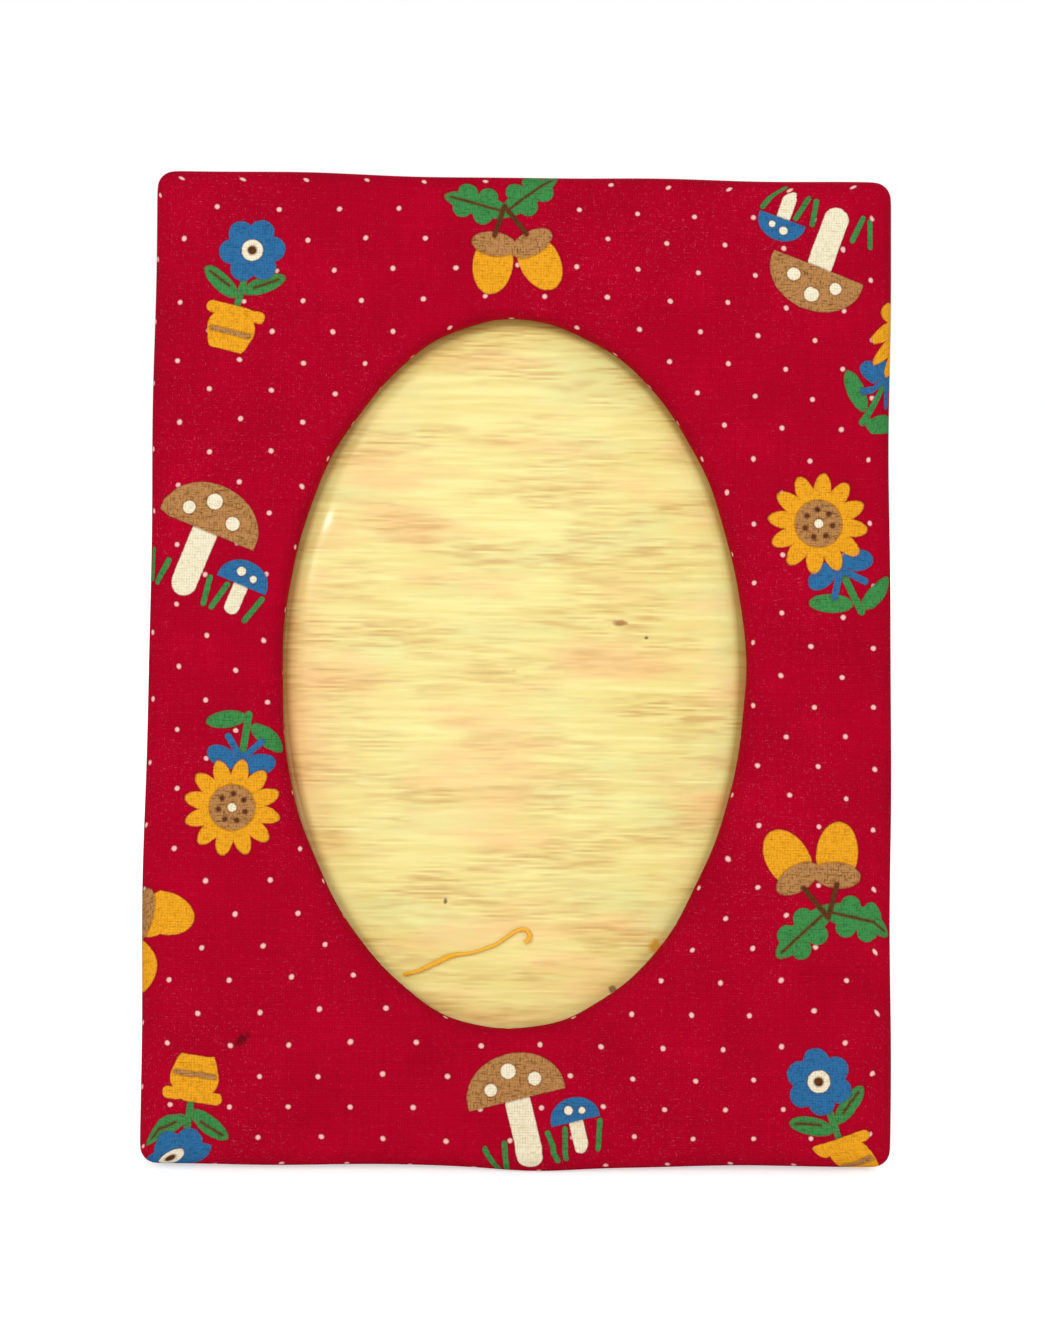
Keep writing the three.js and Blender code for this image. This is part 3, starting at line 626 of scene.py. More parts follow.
def sunflower(p):
    return {
        "green": [stroke(p, (0, 1), (1, -14), 1.5), leaf(p, -4.2, -10, 9, 3.8, 155),
                  leaf(p, 5.4, -12, 8.4, 3.6, 20)],
        "blue": [leaf(p, -3.6, -4.2, 7, 4.4, 200), leaf(p, 4.4, -4, 7, 4.4, -18), disc(p, 0.4, -4.4, 1.5),
                 stroke(p, (0.2, -4.6), (-3, -9), 1.4), stroke(p, (0.6, -4.6), (4.2, -8.6), 1.4)],
        "gold": [leaf(p, 6.6 * math.cos(a), 6 + 6.6 * math.sin(a), 7.4, 3.6, math.degrees(a))
                 for a in ring_of(12, 0)],
        "tan": [disc(p, 0, 6, 4.8)],
        "brown": [disc(p, 2.9 * math.cos(a), 6 + 2.9 * math.sin(a), 0.5) for a in ring_of(7, 20)],
        "cream": [disc(p, 0, 6, 0.9)],
    }


# Screen-printed inks, from the first pulled to the last, full and where the threads under them show.
INKS = {"cream_stem": ("#EDE3C6", "#D9CBA6"), "green": ("#3F8A48", "#2F6A38"),
        "blue": ("#2F6C9E", "#24557E"), "gold": ("#EBA322", "#C98518"), "tan": ("#B5824E", "#7C5027"),
        "cream": ("#F0E6CB", "#DCCFAC"), "brown": ("#5F371C", "#482812")}
shapes = {ink: [] for ink in INKS}
for motif in (toadstools, potted_flower, acorns, sunflower):
    own_place = add("Attribute", attribute_name=motif.__name__).outputs["Vector"]
    for ink, drawn in motif(own_place).items():
        shapes[ink] += drawn
along_weft = drawn_out(add, place, 1.3, 0.3, 2.0, 5.3)
along_warp = drawn_out(add, place, 0.3, 1.3, 2.0, 2.9)
bare = add("Math", [along_weft, along_warp], operation="MAXIMUM")
bare = add("MapRange", [bare, 0.52, 0.7])
for ink, (light, dark) in INKS.items():
    distance = shapes[ink][0]
    for shape in shapes[ink][1:]:
        distance = add("Math", [distance, shape], operation="MINIMUM")
    tone = add("MixRGB", [bare, light, dark])
    colour = inked(colour, distance, tone, 0.12, 0.12)

# One old stain low on the left.
STAIN = (-55.4, 25.6)
STAIN_REACH = (2.0, 1.1)
STAIN_TURN = 40
stain = from_spot(add, place, STAIN, STAIN_REACH, STAIN_TURN)
stain = add("Math", [stain, ragged], operation="ADD")
stain = add("MapRange", [stain, 1.7, 0.9, 0, 0.75])
colour = add("MixRGB", [stain, colour, "#4A0A10"])
# Painted shade: the colour is darkened in the weave's hollows and lightened a little on its tops.
weave_shade = add("MapRange", [weave, 0, 1, 0.86, 1.05])
colour = add("MixRGB", [1.0, colour, weave_shade], blend_type="MULTIPLY")
woven = add("Bump", {"Height": weave, "Strength": 0.3, "Distance": 0.12 * MM})
set_inputs(shader, {"Base Color": colour, "Roughness": 0.9, "Specular IOR Level": 0.03, "Normal": woven})
cover.data.materials.append(cotton)

cut = flat.max(axis=0) - flat.min(axis=0)
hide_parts("front_cover")
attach(cover, "frame")


# Window
# Clear plastic sheet, pressed over a former so that a rounded rim stands up inside the oval. Its
# flat flange is caught between the hem of the front cover and the pocket.

FLANGE_FACE = -6.6
SHEET = 0.5
WINDOW_GAP = 0.5
RIM_WIDTH = 12
RIM_HEIGHT = 3.0
DOME = 0.3
BULGE = 0.5
BULGE_PLACE = np.array((-41.5, 133))
BULGE_ACROSS, BULGE_ALONG = 12, 5
BULGE_FLAT, FLAT_ACROSS = 0.36, 3
BULGE_FADE = 2
FLANGE_OVERLAP = 3.2
RIM_ANGLES = np.radians(np.linspace(0, 90, 15)[1:])
DOME_SHARES = (0.9, 0.78, 0.64, 0.5, 0.36, 0.22, 0.1)
ACROSS_PANEL = (math.pi / 2, 0, 0)
CORNER_SEGMENTS = 6
SMOOTH_DEGREES = 40


def start_piece(name, primitive, **settings):
    """Adds a primitive and opens it in edit mode with all of it selected."""
    bpy.ops.object.select_all(action="DESELECT")
    primitive(**settings)
    piece = bpy.context.object
    piece.name = piece.data.name = name
    bpy.ops.object.transform_apply()
    bpy.ops.object.mode_set(mode="EDIT")
    bpy.ops.mesh.select_all(action="SELECT")
    return piece


def end_piece(piece, place):
    """Turns all faces outwards, leaves edit mode, moves the mesh to its place and smooths its bends."""
    bpy.ops.mesh.select_all(action="SELECT")
    bpy.ops.mesh.normals_make_consistent(inside=False)
    bpy.ops.object.mode_set(mode="OBJECT")
    piece.data.transform(place)
    bpy.ops.object.shade_smooth_by_angle(angle=math.radians(SMOOTH_DEGREES))


oval_centre = (OVAL_MIDDLE[0], FLANGE_FACE, OVAL_MIDDLE[1])
foot_reach = OVAL_REACH - WINDOW_GAP
steps = [(foot_reach - RIM_WIDTH * (1 - math.cos(a)), -RIM_HEIGHT * math.sin(a)) for a in RIM_ANGLES]
steps += [((foot_reach - RIM_WIDTH) * share, -RIM_HEIGHT - DOME * (1 - share ** 2))
          for share in DOME_SHARES]
window = start_piece("clear_window", bpy.ops.mesh.primitive_circle_add, vertices=STATIONS, radius=1,
                     location=oval_centre, rotation=ACROSS_PANEL)
bpy.ops.transform.resize(value=(foot_reach[0], 1, foot_reach[1]), center_override=oval_centre)
reach, depth = foot_reach, 0
for next_reach, next_depth in steps:
    bpy.ops.mesh.extrude_edges_move(TRANSFORM_OT_translate={"value": (0, next_depth - depth, 0)})
    scale = next_reach / reach
    bpy.ops.transform.resize(value=(scale[0], 1, scale[1]), center_override=oval_centre)
    reach, depth = next_reach, next_depth
bpy.ops.mesh.merge(type="CENTER")
bpy.ops.mesh.select_all(action="DESELECT")
bpy.ops.mesh.primitive_plane_add(size=2, location=oval_centre, rotation=ACROSS_PANEL)
bpy.ops.transform.resize(value=(OVAL_REACH[0] + FLANGE_OVERLAP, 1, OVAL_REACH[1] + FLANGE_OVERLAP),
                         center_override=oval_centre)
bpy.ops.mesh.bevel(offset=FRONT_CORNER, segments=CORNER_SEGMENTS, affect="VERTICES")
bpy.ops.mesh.delete(type="ONLY_FACE")
bpy.ops.mesh.select_all(action="DESELECT")
bpy.ops.mesh.select_non_manifold()
bpy.ops.mesh.bridge_edge_loops()
end_piece(window, panel)

# Each point's distance from the foot of the rim, which the painted shade along the rim follows.
on_panel = np.array([panel.inverted() @ Vector(point) for point in point_places(window)])
across = on_panel[:, [0, 2]] - OVAL_MIDDLE
share = np.linalg.norm(across / foot_reach, axis=1)
from_foot = np.linalg.norm(across, axis=1) * (1 / np.maximum(share, 0.01) - 1)
attribute = window.data.attributes.new("from_foot", "FLOAT", "POINT")
attribute.data.foreach_set("value", from_foot.astype(np.float32))

# The rim's left side is not quite even: at one place it bulges a little, and is flatter on top.
aside = (BULGE_PLACE - OVAL_MIDDLE) / foot_reach ** 2
aside = aside / np.linalg.norm(aside)
offset = across - (BULGE_PLACE - OVAL_MIDDLE)
beside, along = offset @ aside, offset @ (-aside[1], aside[0])
bulge = BULGE * np.exp(-((beside / BULGE_ACROSS) ** 2 + (along / BULGE_ALONG) ** 2) / 2)
bulge *= 1 - BULGE_FLAT * np.exp(-(beside / FLAT_ACROSS) ** 2 / 2)
bulge *= np.clip(from_foot / BULGE_FADE, 0, 1)
towards = np.array(panel.to_3x3() @ Vector((0, -1, 0)))
bulged = point_places(window) + bulge[:, None] * towards
window.data.vertices.foreach_set("co", bulged.ravel())
apply_modifier(window, "SOLIDIFY", thickness=SHEET * MM, offset=-1)

# Clear plastic sheet: glossy and faintly smudged by handling. It is too thin to bend what is seen
# through it, so its shine is a coat on a body that hardly refracts, and light passes it freely.
# A brown painted shade lies along the foot of its rim, in the crease under the lip, weaker low down.
SMUDGE = 24
RIM_SHADE_WIDTH = 1.7
RIM_SHADE_FADE = (32, 75)
clear, add, shader, place = new_material("clear_plastic_sheet")
smudge = add("TexNoise", {"Vector": place, "Scale": per_metre(SMUDGE), "Detail": 4.0})
gloss = add("MapRange", [smudge, 0.4, 0.7, 0.02, 0.06])
wavy = add("Bump", {"Height": smudge, "Strength": 0.15, "Distance": 0.4 * MM})
foot = add("Attribute", attribute_name="from_foot").outputs["Fac"]
# Painted shade: brown along the rim's foot, fading out towards the bottom.
rim_shade = add("MapRange", [foot, RIM_SHADE_WIDTH, 0.3])
height = add("SeparateXYZ", {"Vector": place}).outputs["Z"]
shade_fade = add("MapRange", [height, RIM_SHADE_FADE[0] * MM, RIM_SHADE_FADE[1] * MM, 0.15])
rim_shade = add("Math", [rim_shade, shade_fade], operation="MULTIPLY")
tint = add("MixRGB", [rim_shade, "#FDFDFA", "#A88660"])
set_inputs(shader, {"Base Color": tint, "Roughness": gloss, "IOR": 1.01, "Transmission Weight": 1.0,
                    "Coat Weight": 0.5, "Coat IOR": 1.49, "Coat Roughness": 0.16, "Coat Normal": wavy})
path = add("LightPath")
see_through = add("BsdfTransparent")
pane = add("MixShader", [path.outputs["Is Camera Ray"], see_through, shader])
set_inputs(clear.node_tree.nodes["Material Output"], {"Surface": pane})
window.data.materials.append(clear)
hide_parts("window")
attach(window, "frame")


# Loose thread
# A stray end of two-ply gold sewing thread, partly untwisted. It is caught behind the window and
# lies on the cloth of the insert.

THREAD_DIAMETER = 0.7
THREAD_SPREAD = [(0, 1.1), (0.3, 1.8), (0.5, 1.1), (0.75, 1.3), (1, 1.5)]
THREAD_DEPTH = -6.35
THREAD_TWIST = 1.9
PLY_WAIST = 0.68
THREAD_POINTS = [(-23.4, 38.1), (-20.9, 38.7), (-19.2, 39.4), (-17.6, 40.1), (-15.3, 41.3),
                 (-12.9, 42.2), (-9.6, 42.6), (-6.8, 43.5), (-4.5, 44.4), (-2.6, 45.7), (-1.2, 46.7),
                 (0.1, 47.4), (1.4, 47.5), (2.3, 46.7), (2.3, 45.5), (1.4, 44.8)]
THREAD_SIDES = 14
THREAD_STEPS = 12


def smooth_line(points, steps):
    """A curve through points, with so many steps between each two of them."""
    points = np.array(points, float)
    held = np.concatenate([[2 * points[0] - points[1]], points, [2 * points[-1] - points[-2]]])
    t = np.linspace(0, 1, steps, endpoint=False)[:, None]
    line = [b + t * ((c - a) / 2 + t * (a - 2.5 * b + 2 * c - d / 2 + t * (1.5 * (b - c) + (d - a) / 2)))
            for a, b, c, d in zip(held, held[1:], held[2:], held[3:])]
    return np.concatenate([*line, points[-1:]])


line = at_depth(smooth_line(THREAD_POINTS, THREAD_STEPS), THREAD_DEPTH)
run = lengths_along(line)
along = np.gradient(line, axis=0)
sideways = np.cross(along / np.linalg.norm(along, axis=1, keepdims=True), [0, 1, 0])
angles = np.arange(THREAD_SIDES) * 2 * math.pi / THREAD_SIDES
rows = []
for point, side, far in zip(line, sideways, run):
    twisted = angles - 2 * math.pi * far / THREAD_TWIST
    ply = THREAD_DIAMETER / 2 * (PLY_WAIST + (1 - PLY_WAIST) * np.abs(np.cos(twisted)))
    spread = np.interp(far / run[-1], *zip(*THREAD_SPREAD))
    rows.append(point + (spread * ply * np.cos(angles))[:, None] * side
                + (ply * np.sin(angles))[:, None] * [0, 1, 0])
thread = new_sheet("gold_thread", np.concatenate(rows), row_faces(len(rows), THREAD_SIDES, True), panel)
make_active(thread)
bpy.ops.object.mode_set(mode="EDIT")
bpy.ops.mesh.select_all(action="DESELECT")
bpy.ops.mesh.select_non_manifold()
bpy.ops.mesh.edge_face_add()
bpy.ops.mesh.select_all(action="SELECT")
bpy.ops.mesh.normals_make_consistent(inside=False)
bpy.ops.object.mode_set(mode="OBJECT")

# Gold sewing thread: spun cotton, uneven from fibre to fibre.
FIBRE = 0.15
gold, add, shader, place = new_material("gold_cotton_thread")
spun = add("TexNoise", {"Vector": place, "Scale": per_metre(FIBRE), "Detail": 3.0})
tone = add("MixRGB", [spun, "#CC8600", "#FFC400"])
set_inputs(shader, {"Base Color": tone, "Roughness": 0.6, "Specular IOR Level": 0.2})
thread.data.materials.append(gold)
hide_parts("loose_thread")
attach(thread, "frame")


# Pocket rails
# Strips of greyboard between front and back, down both sides and along the foot of the pocket.
# The insert slides between them.

for side in ("left", "right", "bottom"):
    dress(f"pocket_rail_{side}", greyboard)


# Insert
# A greyboard card with a cream slub cloth glued to its face. It slides into the pocket from the
# top, behind the window.

dress("insert_card", greyboard)

GRID_STEP = 1.0
COCKLE = 0.05
cloth_left, cloth_right = (v / MM for v in extent("insert_cloth", Vector((1, 0, 0))))
cloth_foot, cloth_top = ((v - panel_foot) / MM for v in extent("insert_cloth", up))
cloth_face, cloth_rear = ((v - panel_rear) / MM for v in extent("insert_cloth", rearwards))
columns = np.linspace(cloth_left, cloth_right, round((cloth_right - cloth_left) / GRID_STEP))
levels = np.linspace(cloth_foot, cloth_top, round((cloth_top - cloth_foot) / GRID_STEP))
flat = np.array([(x, height) for height in levels for x in columns])
x, height = flat[:, 0], flat[:, 1]
cockle = COCKLE * np.sin(x / 5 + 1.3 * np.sin(height / 9)) * np.sin(height / 7 + x / 31)
insert_cloth = new_sheet("insert_slub_cloth", at_depth(flat, cloth_face + COCKLE + cockle),
                         row_faces(len(levels), len(columns), False), panel)
keep_flat_place(insert_cloth, flat)
apply_modifier(insert_cloth, "SOLIDIFY", thickness=(cloth_rear - cloth_face - 2 * COCKLE) * MM,
               offset=-1)

# Slub cloth: cream cotton with a thick-and-thin weft, streaked tan, peach and pale green along the
# weft where the yarn took the dye unevenly. Near the oval's left side the peach is made stronger by
# a painted reflection of the red cloth. A knot of gold yarn and a few specks of dirt lie in it.
# Each speck has its middle, its reach and its colour.
WEFT = 0.45
RED_REFLECTION_MIDDLE = (-50, 84)
RED_REFLECTION_REACH = (14, 46)
GRIME = 0.9
SPECKS = [((28.2, 44.2), (1.3, 1.5), "#D79A1E"), ((20.6, 110.9), (1.5, 0.6), "#9A5A1C"),
          ((26.1, 107.9), (0.35, 0.35), "#5A3C20"), ((-15.0, 53.2), (0.4, 0.6), "#5C4220"),
          ((19.6, 35.4), (0.9, 0.8), "#7A5A2C")]
slub, add, shader, place = new_material("cream_slub_cotton", on_cloth=True)
yarn = add("VectorMath", [place, [WEFT / 10 * MM, WEFT * MM, 1]], operation="SNAP")
picks = drawn_out(add, yarn, 11, WEFT / 3, 2.0, 4.1)
picks = add("MapRange", [picks, 0.44, 0.64])
patches = drawn_out(add, yarn, 30, 8, 4.0)
patches = add("MapRange", [patches, 0.44, 0.6])
peach_dye_and_reflection = drawn_out(add, yarn, 30, 9, 4.0, 12.4)
peach_dye_and_reflection = add("MapRange", [peach_dye_and_reflection, 0.48, 0.66, 0, 0.6])
pale = drawn_out(add, yarn, 32, 14, 4.0, 23.9)
pale = add("MapRange", [pale, 0.5, 0.68, 0, 0.75])
# Painted reflection of the red cloth: a peach spot near the oval's left side, joined to the peach dye.
edge = from_spot(add, place, RED_REFLECTION_MIDDLE, RED_REFLECTION_REACH)
edge = add("MapRange", [edge, 1.0, 0.3, 0, 0.7])
peach_dye_and_reflection = add("Math", [peach_dye_and_reflection, edge], operation="MAXIMUM")
bands = drawn_out(add, yarn, 20, WEFT * 2.3, 3.0, 17.3)
bands = add("MapRange", [bands, 0.4, 0.7])
tone = add("MixRGB", [bands, "#E5D480", "#F0E496"])
tone = add("MixRGB", [pale, tone, "#DEDE94"])
tone = add("MixRGB", [peach_dye_and_reflection, tone, "#F2B87C"])
streaks = add("MapRange", [picks, 0, 1, 0.12, 0.66])
streaks = add("Math", [streaks, patches], operation="MULTIPLY")
tone = add("MixRGB", [streaks, tone, "#C68F42"])
fine = add("MapRange", [picks, 0, 1, 0.0, 0.12])
tone = add("MixRGB", [fine, tone, "#BE9C55"])
weave = plain_weave(add, place, WEFT)
# Painted shade: the weave's hollows a little darker and its tops a little lighter.
weave_shade = add("MapRange", [weave, 0, 1, 0.985, 1.015])
tone = add("MixRGB", [1.0, tone, weave_shade], blend_type="MULTIPLY")
grime = add("TexNoise", {"Vector": place, "Scale": per_metre(GRIME), "Detail": 2.0})
for middle, reach, speck_colour in SPECKS:
    speck = from_spot(add, place, middle, reach)
    speck = add("Math", [speck, grime], operation="ADD")
    speck = add("MapRange", [speck, 1.75, 1.15, 0, 0.85])
    tone = add("MixRGB", [speck, tone, speck_colour])
ribbed = add("Bump", {"Height": weave, "Strength": 0.1, "Distance": 0.08 * MM})
set_inputs(shader, {"Base Color": tone, "Roughness": 0.8, "Specular IOR Level": 0.2, "Normal": ribbed})
insert_cloth.data.materials.append(slub)
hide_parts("insert_cloth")
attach(insert_cloth, "insert")


# Back
# A greyboard back under plain red cotton, which is turned in over its edges. Cream paper hides the
# hem and makes the rear wall of the pocket.

dress("back_board", greyboard)

BACK_INSET = 1
BACK_HEM_FACE = -3.2
BACK_HEM = 12
BACK_INSETS = (58, 44, 30, 18, 9, 4, 1.5)
BACK_STEPS = (8, 60)
TURN_ANGLES = np.radians([0, 30, 60, 90])


def board_cover(name, outline_at, outer, inner, hem, face_insets, place, steps):
    """Cloth over one face of a board, round its edge and in behind it, and its flat size."""
    def loop(inset, depth):
        return rounded_loop(*outline_at(inset, depth), *steps)
    turn = [(EDGE_ROUND * (1 - math.sin(a)), EDGE_ROUND * (1 - math.cos(a))) for a in TURN_ANGLES]
    section = [(inset, outer) for inset in face_insets]
    section += [(inset, outer - drop) for inset, drop in turn]
    section += [(0, (outer + inner) / 2)]
    section += [(inset, inner + drop) for inset, drop in turn[::-1]]
    section += [(inset, inner) for inset in np.linspace(EDGE_ROUND, hem, HEM_ROWS)[1:]]
    edge = loop(0, outer)
    away = outward(edge)
    length = lengths_along(np.array(section))
    start = length[len(face_insets)] + EDGE_ROUND
    rows = [at_depth(loop(inset, depth), depth) for inset, depth in section]
    flats = [loop(inset, depth) if inset in face_insets else edge + away * (far - start)
             for (inset, depth), far in zip(section, length)]
    middle = rows[0].mean(axis=0)
    count, last = len(rows[0]), len(rows) * len(rows[0])
    faces = row_faces(len(rows), count, True) + [(last, (i + 1) % count, i) for i in range(count)]
    piece = new_sheet(name, np.concatenate([*rows, [middle]]), faces, place)
    keep_flat_place(piece, np.concatenate([*flats, [middle[[0, 2]]]]))
    apply_modifier(piece, "SOLIDIFY", thickness=CLOTH_THICKNESS * MM, offset=-1)
    return piece, flats[-1].max(axis=0) - flats[-1].min(axis=0)


def back_outline(inset, depth):
    """The back's outline, which is the same at every depth."""
    x = FRONT_WIDTH / 2 - BACK_INSET - inset
    low, high = BACK_INSET + inset, FRONT_HEIGHT - BACK_INSET - inset
    return [(x, high), (-x, high), (-x, low), (x, low)], FRONT_CORNER


back_cloth, cut = board_cover("back_cover", back_outline, 0, BACK_HEM_FACE, BACK_HEM, BACK_INSETS,
                              panel, BACK_STEPS)

# Plain red cotton: the same weave as the front's, dyed one deep red.
plain, add, shader, place = new_material("plain_red_cotton", on_cloth=True)
weave = plain_weave(add, place, THREAD)
colour = dyed_threads(add, place, THREAD, "#85021C", "#A60A2A")
# Painted shade: the colour is darkened in the weave's hollows and lightened a little on its tops.
weave_shade = add("MapRange", [weave, 0, 1, 0.82, 1.05])
colour = add("MixRGB", [1.0, colour, weave_shade], blend_type="MULTIPLY")
woven = add("Bump", {"Height": weave, "Strength": 0.35, "Distance": 0.15 * MM})
set_inputs(shader, {"Base Color": colour, "Roughness": 0.9, "Specular IOR Level": 0.06, "Normal": woven})
back_cloth.data.materials.append(plain)
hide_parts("back_cloth")
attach(back_cloth, "frame")

# Lining paper: uncoated cream paper with a faint fibre.
PAPER_FIBRE = 3
lining_paper, add, shader, place = new_material("cream_lining_paper")
flock = add("TexNoise", {"Vector": place, "Scale": per_metre(PAPER_FIBRE), "Detail": 7.0})
tone = add("MixRGB", [flock, "#DDD3BC", "#EFE8D8"])
tooth = add("Bump", {"Height": flock, "Strength": 0.2, "Distance": 0.05 * MM})
set_inputs(shader, {"Base Color": tone, "Roughness": 0.85, "Normal": tooth})
dress("back_lining", lining_paper)


# Hinge
# Two pressed steel leaves, rolled round one pin and plated a pale brass colour. Each is riveted
# through its board with two domed rivets.

hinge = next(joint for joint in frame["joints"] if joint["name"] == "leg_hinge")
LEG_OPEN = math.radians(23)
LEAN = math.atan2(up.y, up.z)
LEG_FROM_VERTICAL = LEG_OPEN - LEAN
at_hinge = Matrix.Translation(hinge["pos_m"])
back_at_hinge = at_hinge @ Matrix.Rotation(-LEAN, 4, "X") @ Matrix.Scale(MM, 4)
leg_at_hinge = at_hinge @ Matrix.Rotation(LEG_FROM_VERTICAL, 4, "X") @ Matrix.Scale(MM, 4)

LEAF_WIDTH = 34
LEAF_HEIGHT = 15
LEAF_START = 1.85
LEAF_FACES = (-1.55, -0.55)
LEAF_CORNER = 2
LEAF_EASE = (0.15, 2)
KNUCKLE_RADIUS = 1.55
KNUCKLE_WALL = 0.6
BACK_KNUCKLES = [(-11.65, 10.7), (11.65, 10.7)]
LEG_KNUCKLES = [(0, 12)]
PIN_RADIUS = 0.8
PIN_LENGTH = 35.6
PIN_EASE = (0.3, 4)
RIVET_X = 11
RIVET_FROM_AXIS = 9
RIVET_HEAD = (2.4, 0.9)
RIVET_SHANK = 1
ALONG_HINGE = (0, math.pi / 2, 0)
ROUND_SIDES = 32
SHARP_DEGREES = 60

# Plated steel: brass-coloured plating, brushed by the press and dulled where it is handled.
BRUSH_LENGTH, BRUSH_WIDTH = 8, 0.12
TARNISH = 6
plated, add, shader, place = new_material("brass_plated_steel")
drawn = add("Mapping", {"Vector": place, "Scale": [per_metre(BRUSH_LENGTH), per_metre(BRUSH_WIDTH),
                                                   per_metre(BRUSH_WIDTH)]})
brush = add("TexNoise", {"Vector": drawn, "Scale": 1.0, "Detail": 3.0})
tarnish = add("TexNoise", {"Vector": place, "Scale": per_metre(TARNISH), "Detail": 4.0})
tone = add("MixRGB", [tarnish, "#B89A5C", "#DCC68C"])
dulled = add("MapRange", [tarnish, 0.3, 0.7, 0.22, 0.42])
brushed = add("Bump", {"Height": brush, "Strength": 0.12, "Distance": 0.03 * MM})
set_inputs(shader, {"Base Color": tone, "Metallic": 1.0, "Roughness": dulled, "Normal": brushed})


def hold(piece, node_name, body):
    """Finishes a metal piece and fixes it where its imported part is."""
    piece.data.materials.append(plated)
    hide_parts(node_name)
    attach(piece, body)


def ease_edges(piece, width, segments):
    """Rounds off a metal piece's sharp edges, to a width and in so many segments."""
    apply_modifier(piece, "BEVEL", width=width * MM, segments=segments, limit_method="ANGLE",
                   angle_limit=math.radians(SHARP_DEGREES))


def add_leaf(name, side, knuckles, place):
    """A leaf above (side 1) or below (side -1) the axis, with knuckles given as middle and length."""
    middle = (LEAF_START + LEAF_HEIGHT) / 2 * side
    leaf_centre = (0, LEAF_FACES[0], middle)
    piece = start_piece(name, bpy.ops.mesh.primitive_plane_add, size=2, location=leaf_centre,
                        rotation=ACROSS_PANEL)
    bpy.ops.transform.resize(value=(LEAF_WIDTH / 2, 1, (LEAF_HEIGHT - LEAF_START) / 2),
                             center_override=leaf_centre)
    bpy.ops.mesh.bevel(offset=LEAF_CORNER, segments=CORNER_SEGMENTS, affect="VERTICES")
    thickness = LEAF_FACES[1] - LEAF_FACES[0]
    bpy.ops.mesh.extrude_region_move(TRANSFORM_OT_translate={"value": (0, thickness, 0)})
    for middle_x, length in knuckles:
        for radius in (KNUCKLE_RADIUS, KNUCKLE_RADIUS - KNUCKLE_WALL):
            bpy.ops.mesh.select_all(action="DESELECT")
            bpy.ops.mesh.primitive_cylinder_add(vertices=ROUND_SIDES, radius=radius, depth=length,
                                                location=(middle_x, 0, 0), rotation=ALONG_HINGE,
                                                end_fill_type="NOTHING")
        bpy.ops.mesh.select_all(action="DESELECT")
        bpy.ops.mesh.select_non_manifold()
        bpy.ops.mesh.bridge_edge_loops()
        bpy.ops.mesh.select_all(action="DESELECT")
        tab_centre = (middle_x, LEAF_FACES[0] + KNUCKLE_WALL / 2, side * (LEAF_START + LEAF_CORNER) / 2)
        bpy.ops.mesh.primitive_cube_add(size=1, location=tab_centre)
        bpy.ops.transform.resize(value=(length, KNUCKLE_WALL, LEAF_START + LEAF_CORNER),
                                 center_override=tab_centre)
    end_piece(piece, place)
    ease_edges(piece, *LEAF_EASE)
    return piece


hold(add_leaf("back_leaf", 1, BACK_KNUCKLES, back_at_hinge), "hinge_leaf_back", "frame")
hold(add_leaf("leg_leaf", -1, LEG_KNUCKLES, leg_at_hinge), "hinge_leaf_leg", "leg")

pin = start_piece("pin", bpy.ops.mesh.primitive_cylinder_add, vertices=ROUND_SIDES, radius=PIN_RADIUS,
                  depth=PIN_LENGTH, rotation=ALONG_HINGE)
end_piece(pin, back_at_hinge)
ease_edges(pin, *PIN_EASE)
hold(pin, "hinge_pin", "frame")


def add_rivet(name, x, height, head_depth, shank, place):
    """A domed rivet whose head faces the rear."""
    piece = start_piece(name, bpy.ops.mesh.primitive_uv_sphere_add, segments=ROUND_SIDES,
                        ring_count=ROUND_SIDES // 2, radius=RIVET_HEAD[0], rotation=(-math.pi / 2, 0, 0))
    bpy.ops.mesh.bisect(plane_co=(0, 0, 0), plane_no=(0, 1, 0), use_fill=True, clear_inner=True)
    bpy.ops.mesh.inset(thickness=RIVET_HEAD[0] - RIVET_SHANK)
    drop = -shank * RIVET_HEAD[0] / RIVET_HEAD[1]
    bpy.ops.mesh.extrude_region_move(TRANSFORM_OT_translate={"value": (0, drop, 0)})
    bpy.ops.mesh.select_all(action="SELECT")
    bpy.ops.transform.resize(value=(1, RIVET_HEAD[1] / RIVET_HEAD[0], 1), center_override=(0, 0, 0))
    bpy.ops.transform.translate(value=(x, head_depth, height))
    end_piece(piece, place)
    return piece


# How deep each rivet's head sits, and how long its shank is.
BACK_RIVET = (-0.35, 4.0)
LEG_RIVET = (3.55, 5.1)
for side, x in (("left", -RIVET_X), ("right", RIVET_X)):
    hold(add_rivet(f"back_rivet_{side}", x, RIVET_FROM_AXIS, *BACK_RIVET, back_at_hinge),
         f"hinge_rivet_back_{side}", "frame")
    hold(add_rivet(f"leg_rivet_{side}", x, -RIVET_FROM_AXIS, *LEG_RIVET, leg_at_hinge),
         f"hinge_rivet_leg_{side}", "leg")


# Easel leg
# A tapered greyboard leg, covered on its rear face in the same plain cotton and lined with paper
# on the face that folds against the back. Its foot is cut level for the table.

dress("leg_board", greyboard)
dress("leg_lining", lining_paper)

LEG_TOP = -1.85
LEG_TOP_WIDTH = 42
LEG_FOOT_WIDTH = 64
LEG_CORNER = 5
LEG_OUTER = 3.35
LEG_HEM_FACE = 0.15
LEG_HEM = 8
LEG_INSETS = (14, 9, 4, 1.5)
LEG_STEPS = (8, 40)
LEG_REACH = hinge["pos_m"][2] / MM / math.cos(LEG_FROM_VERTICAL)


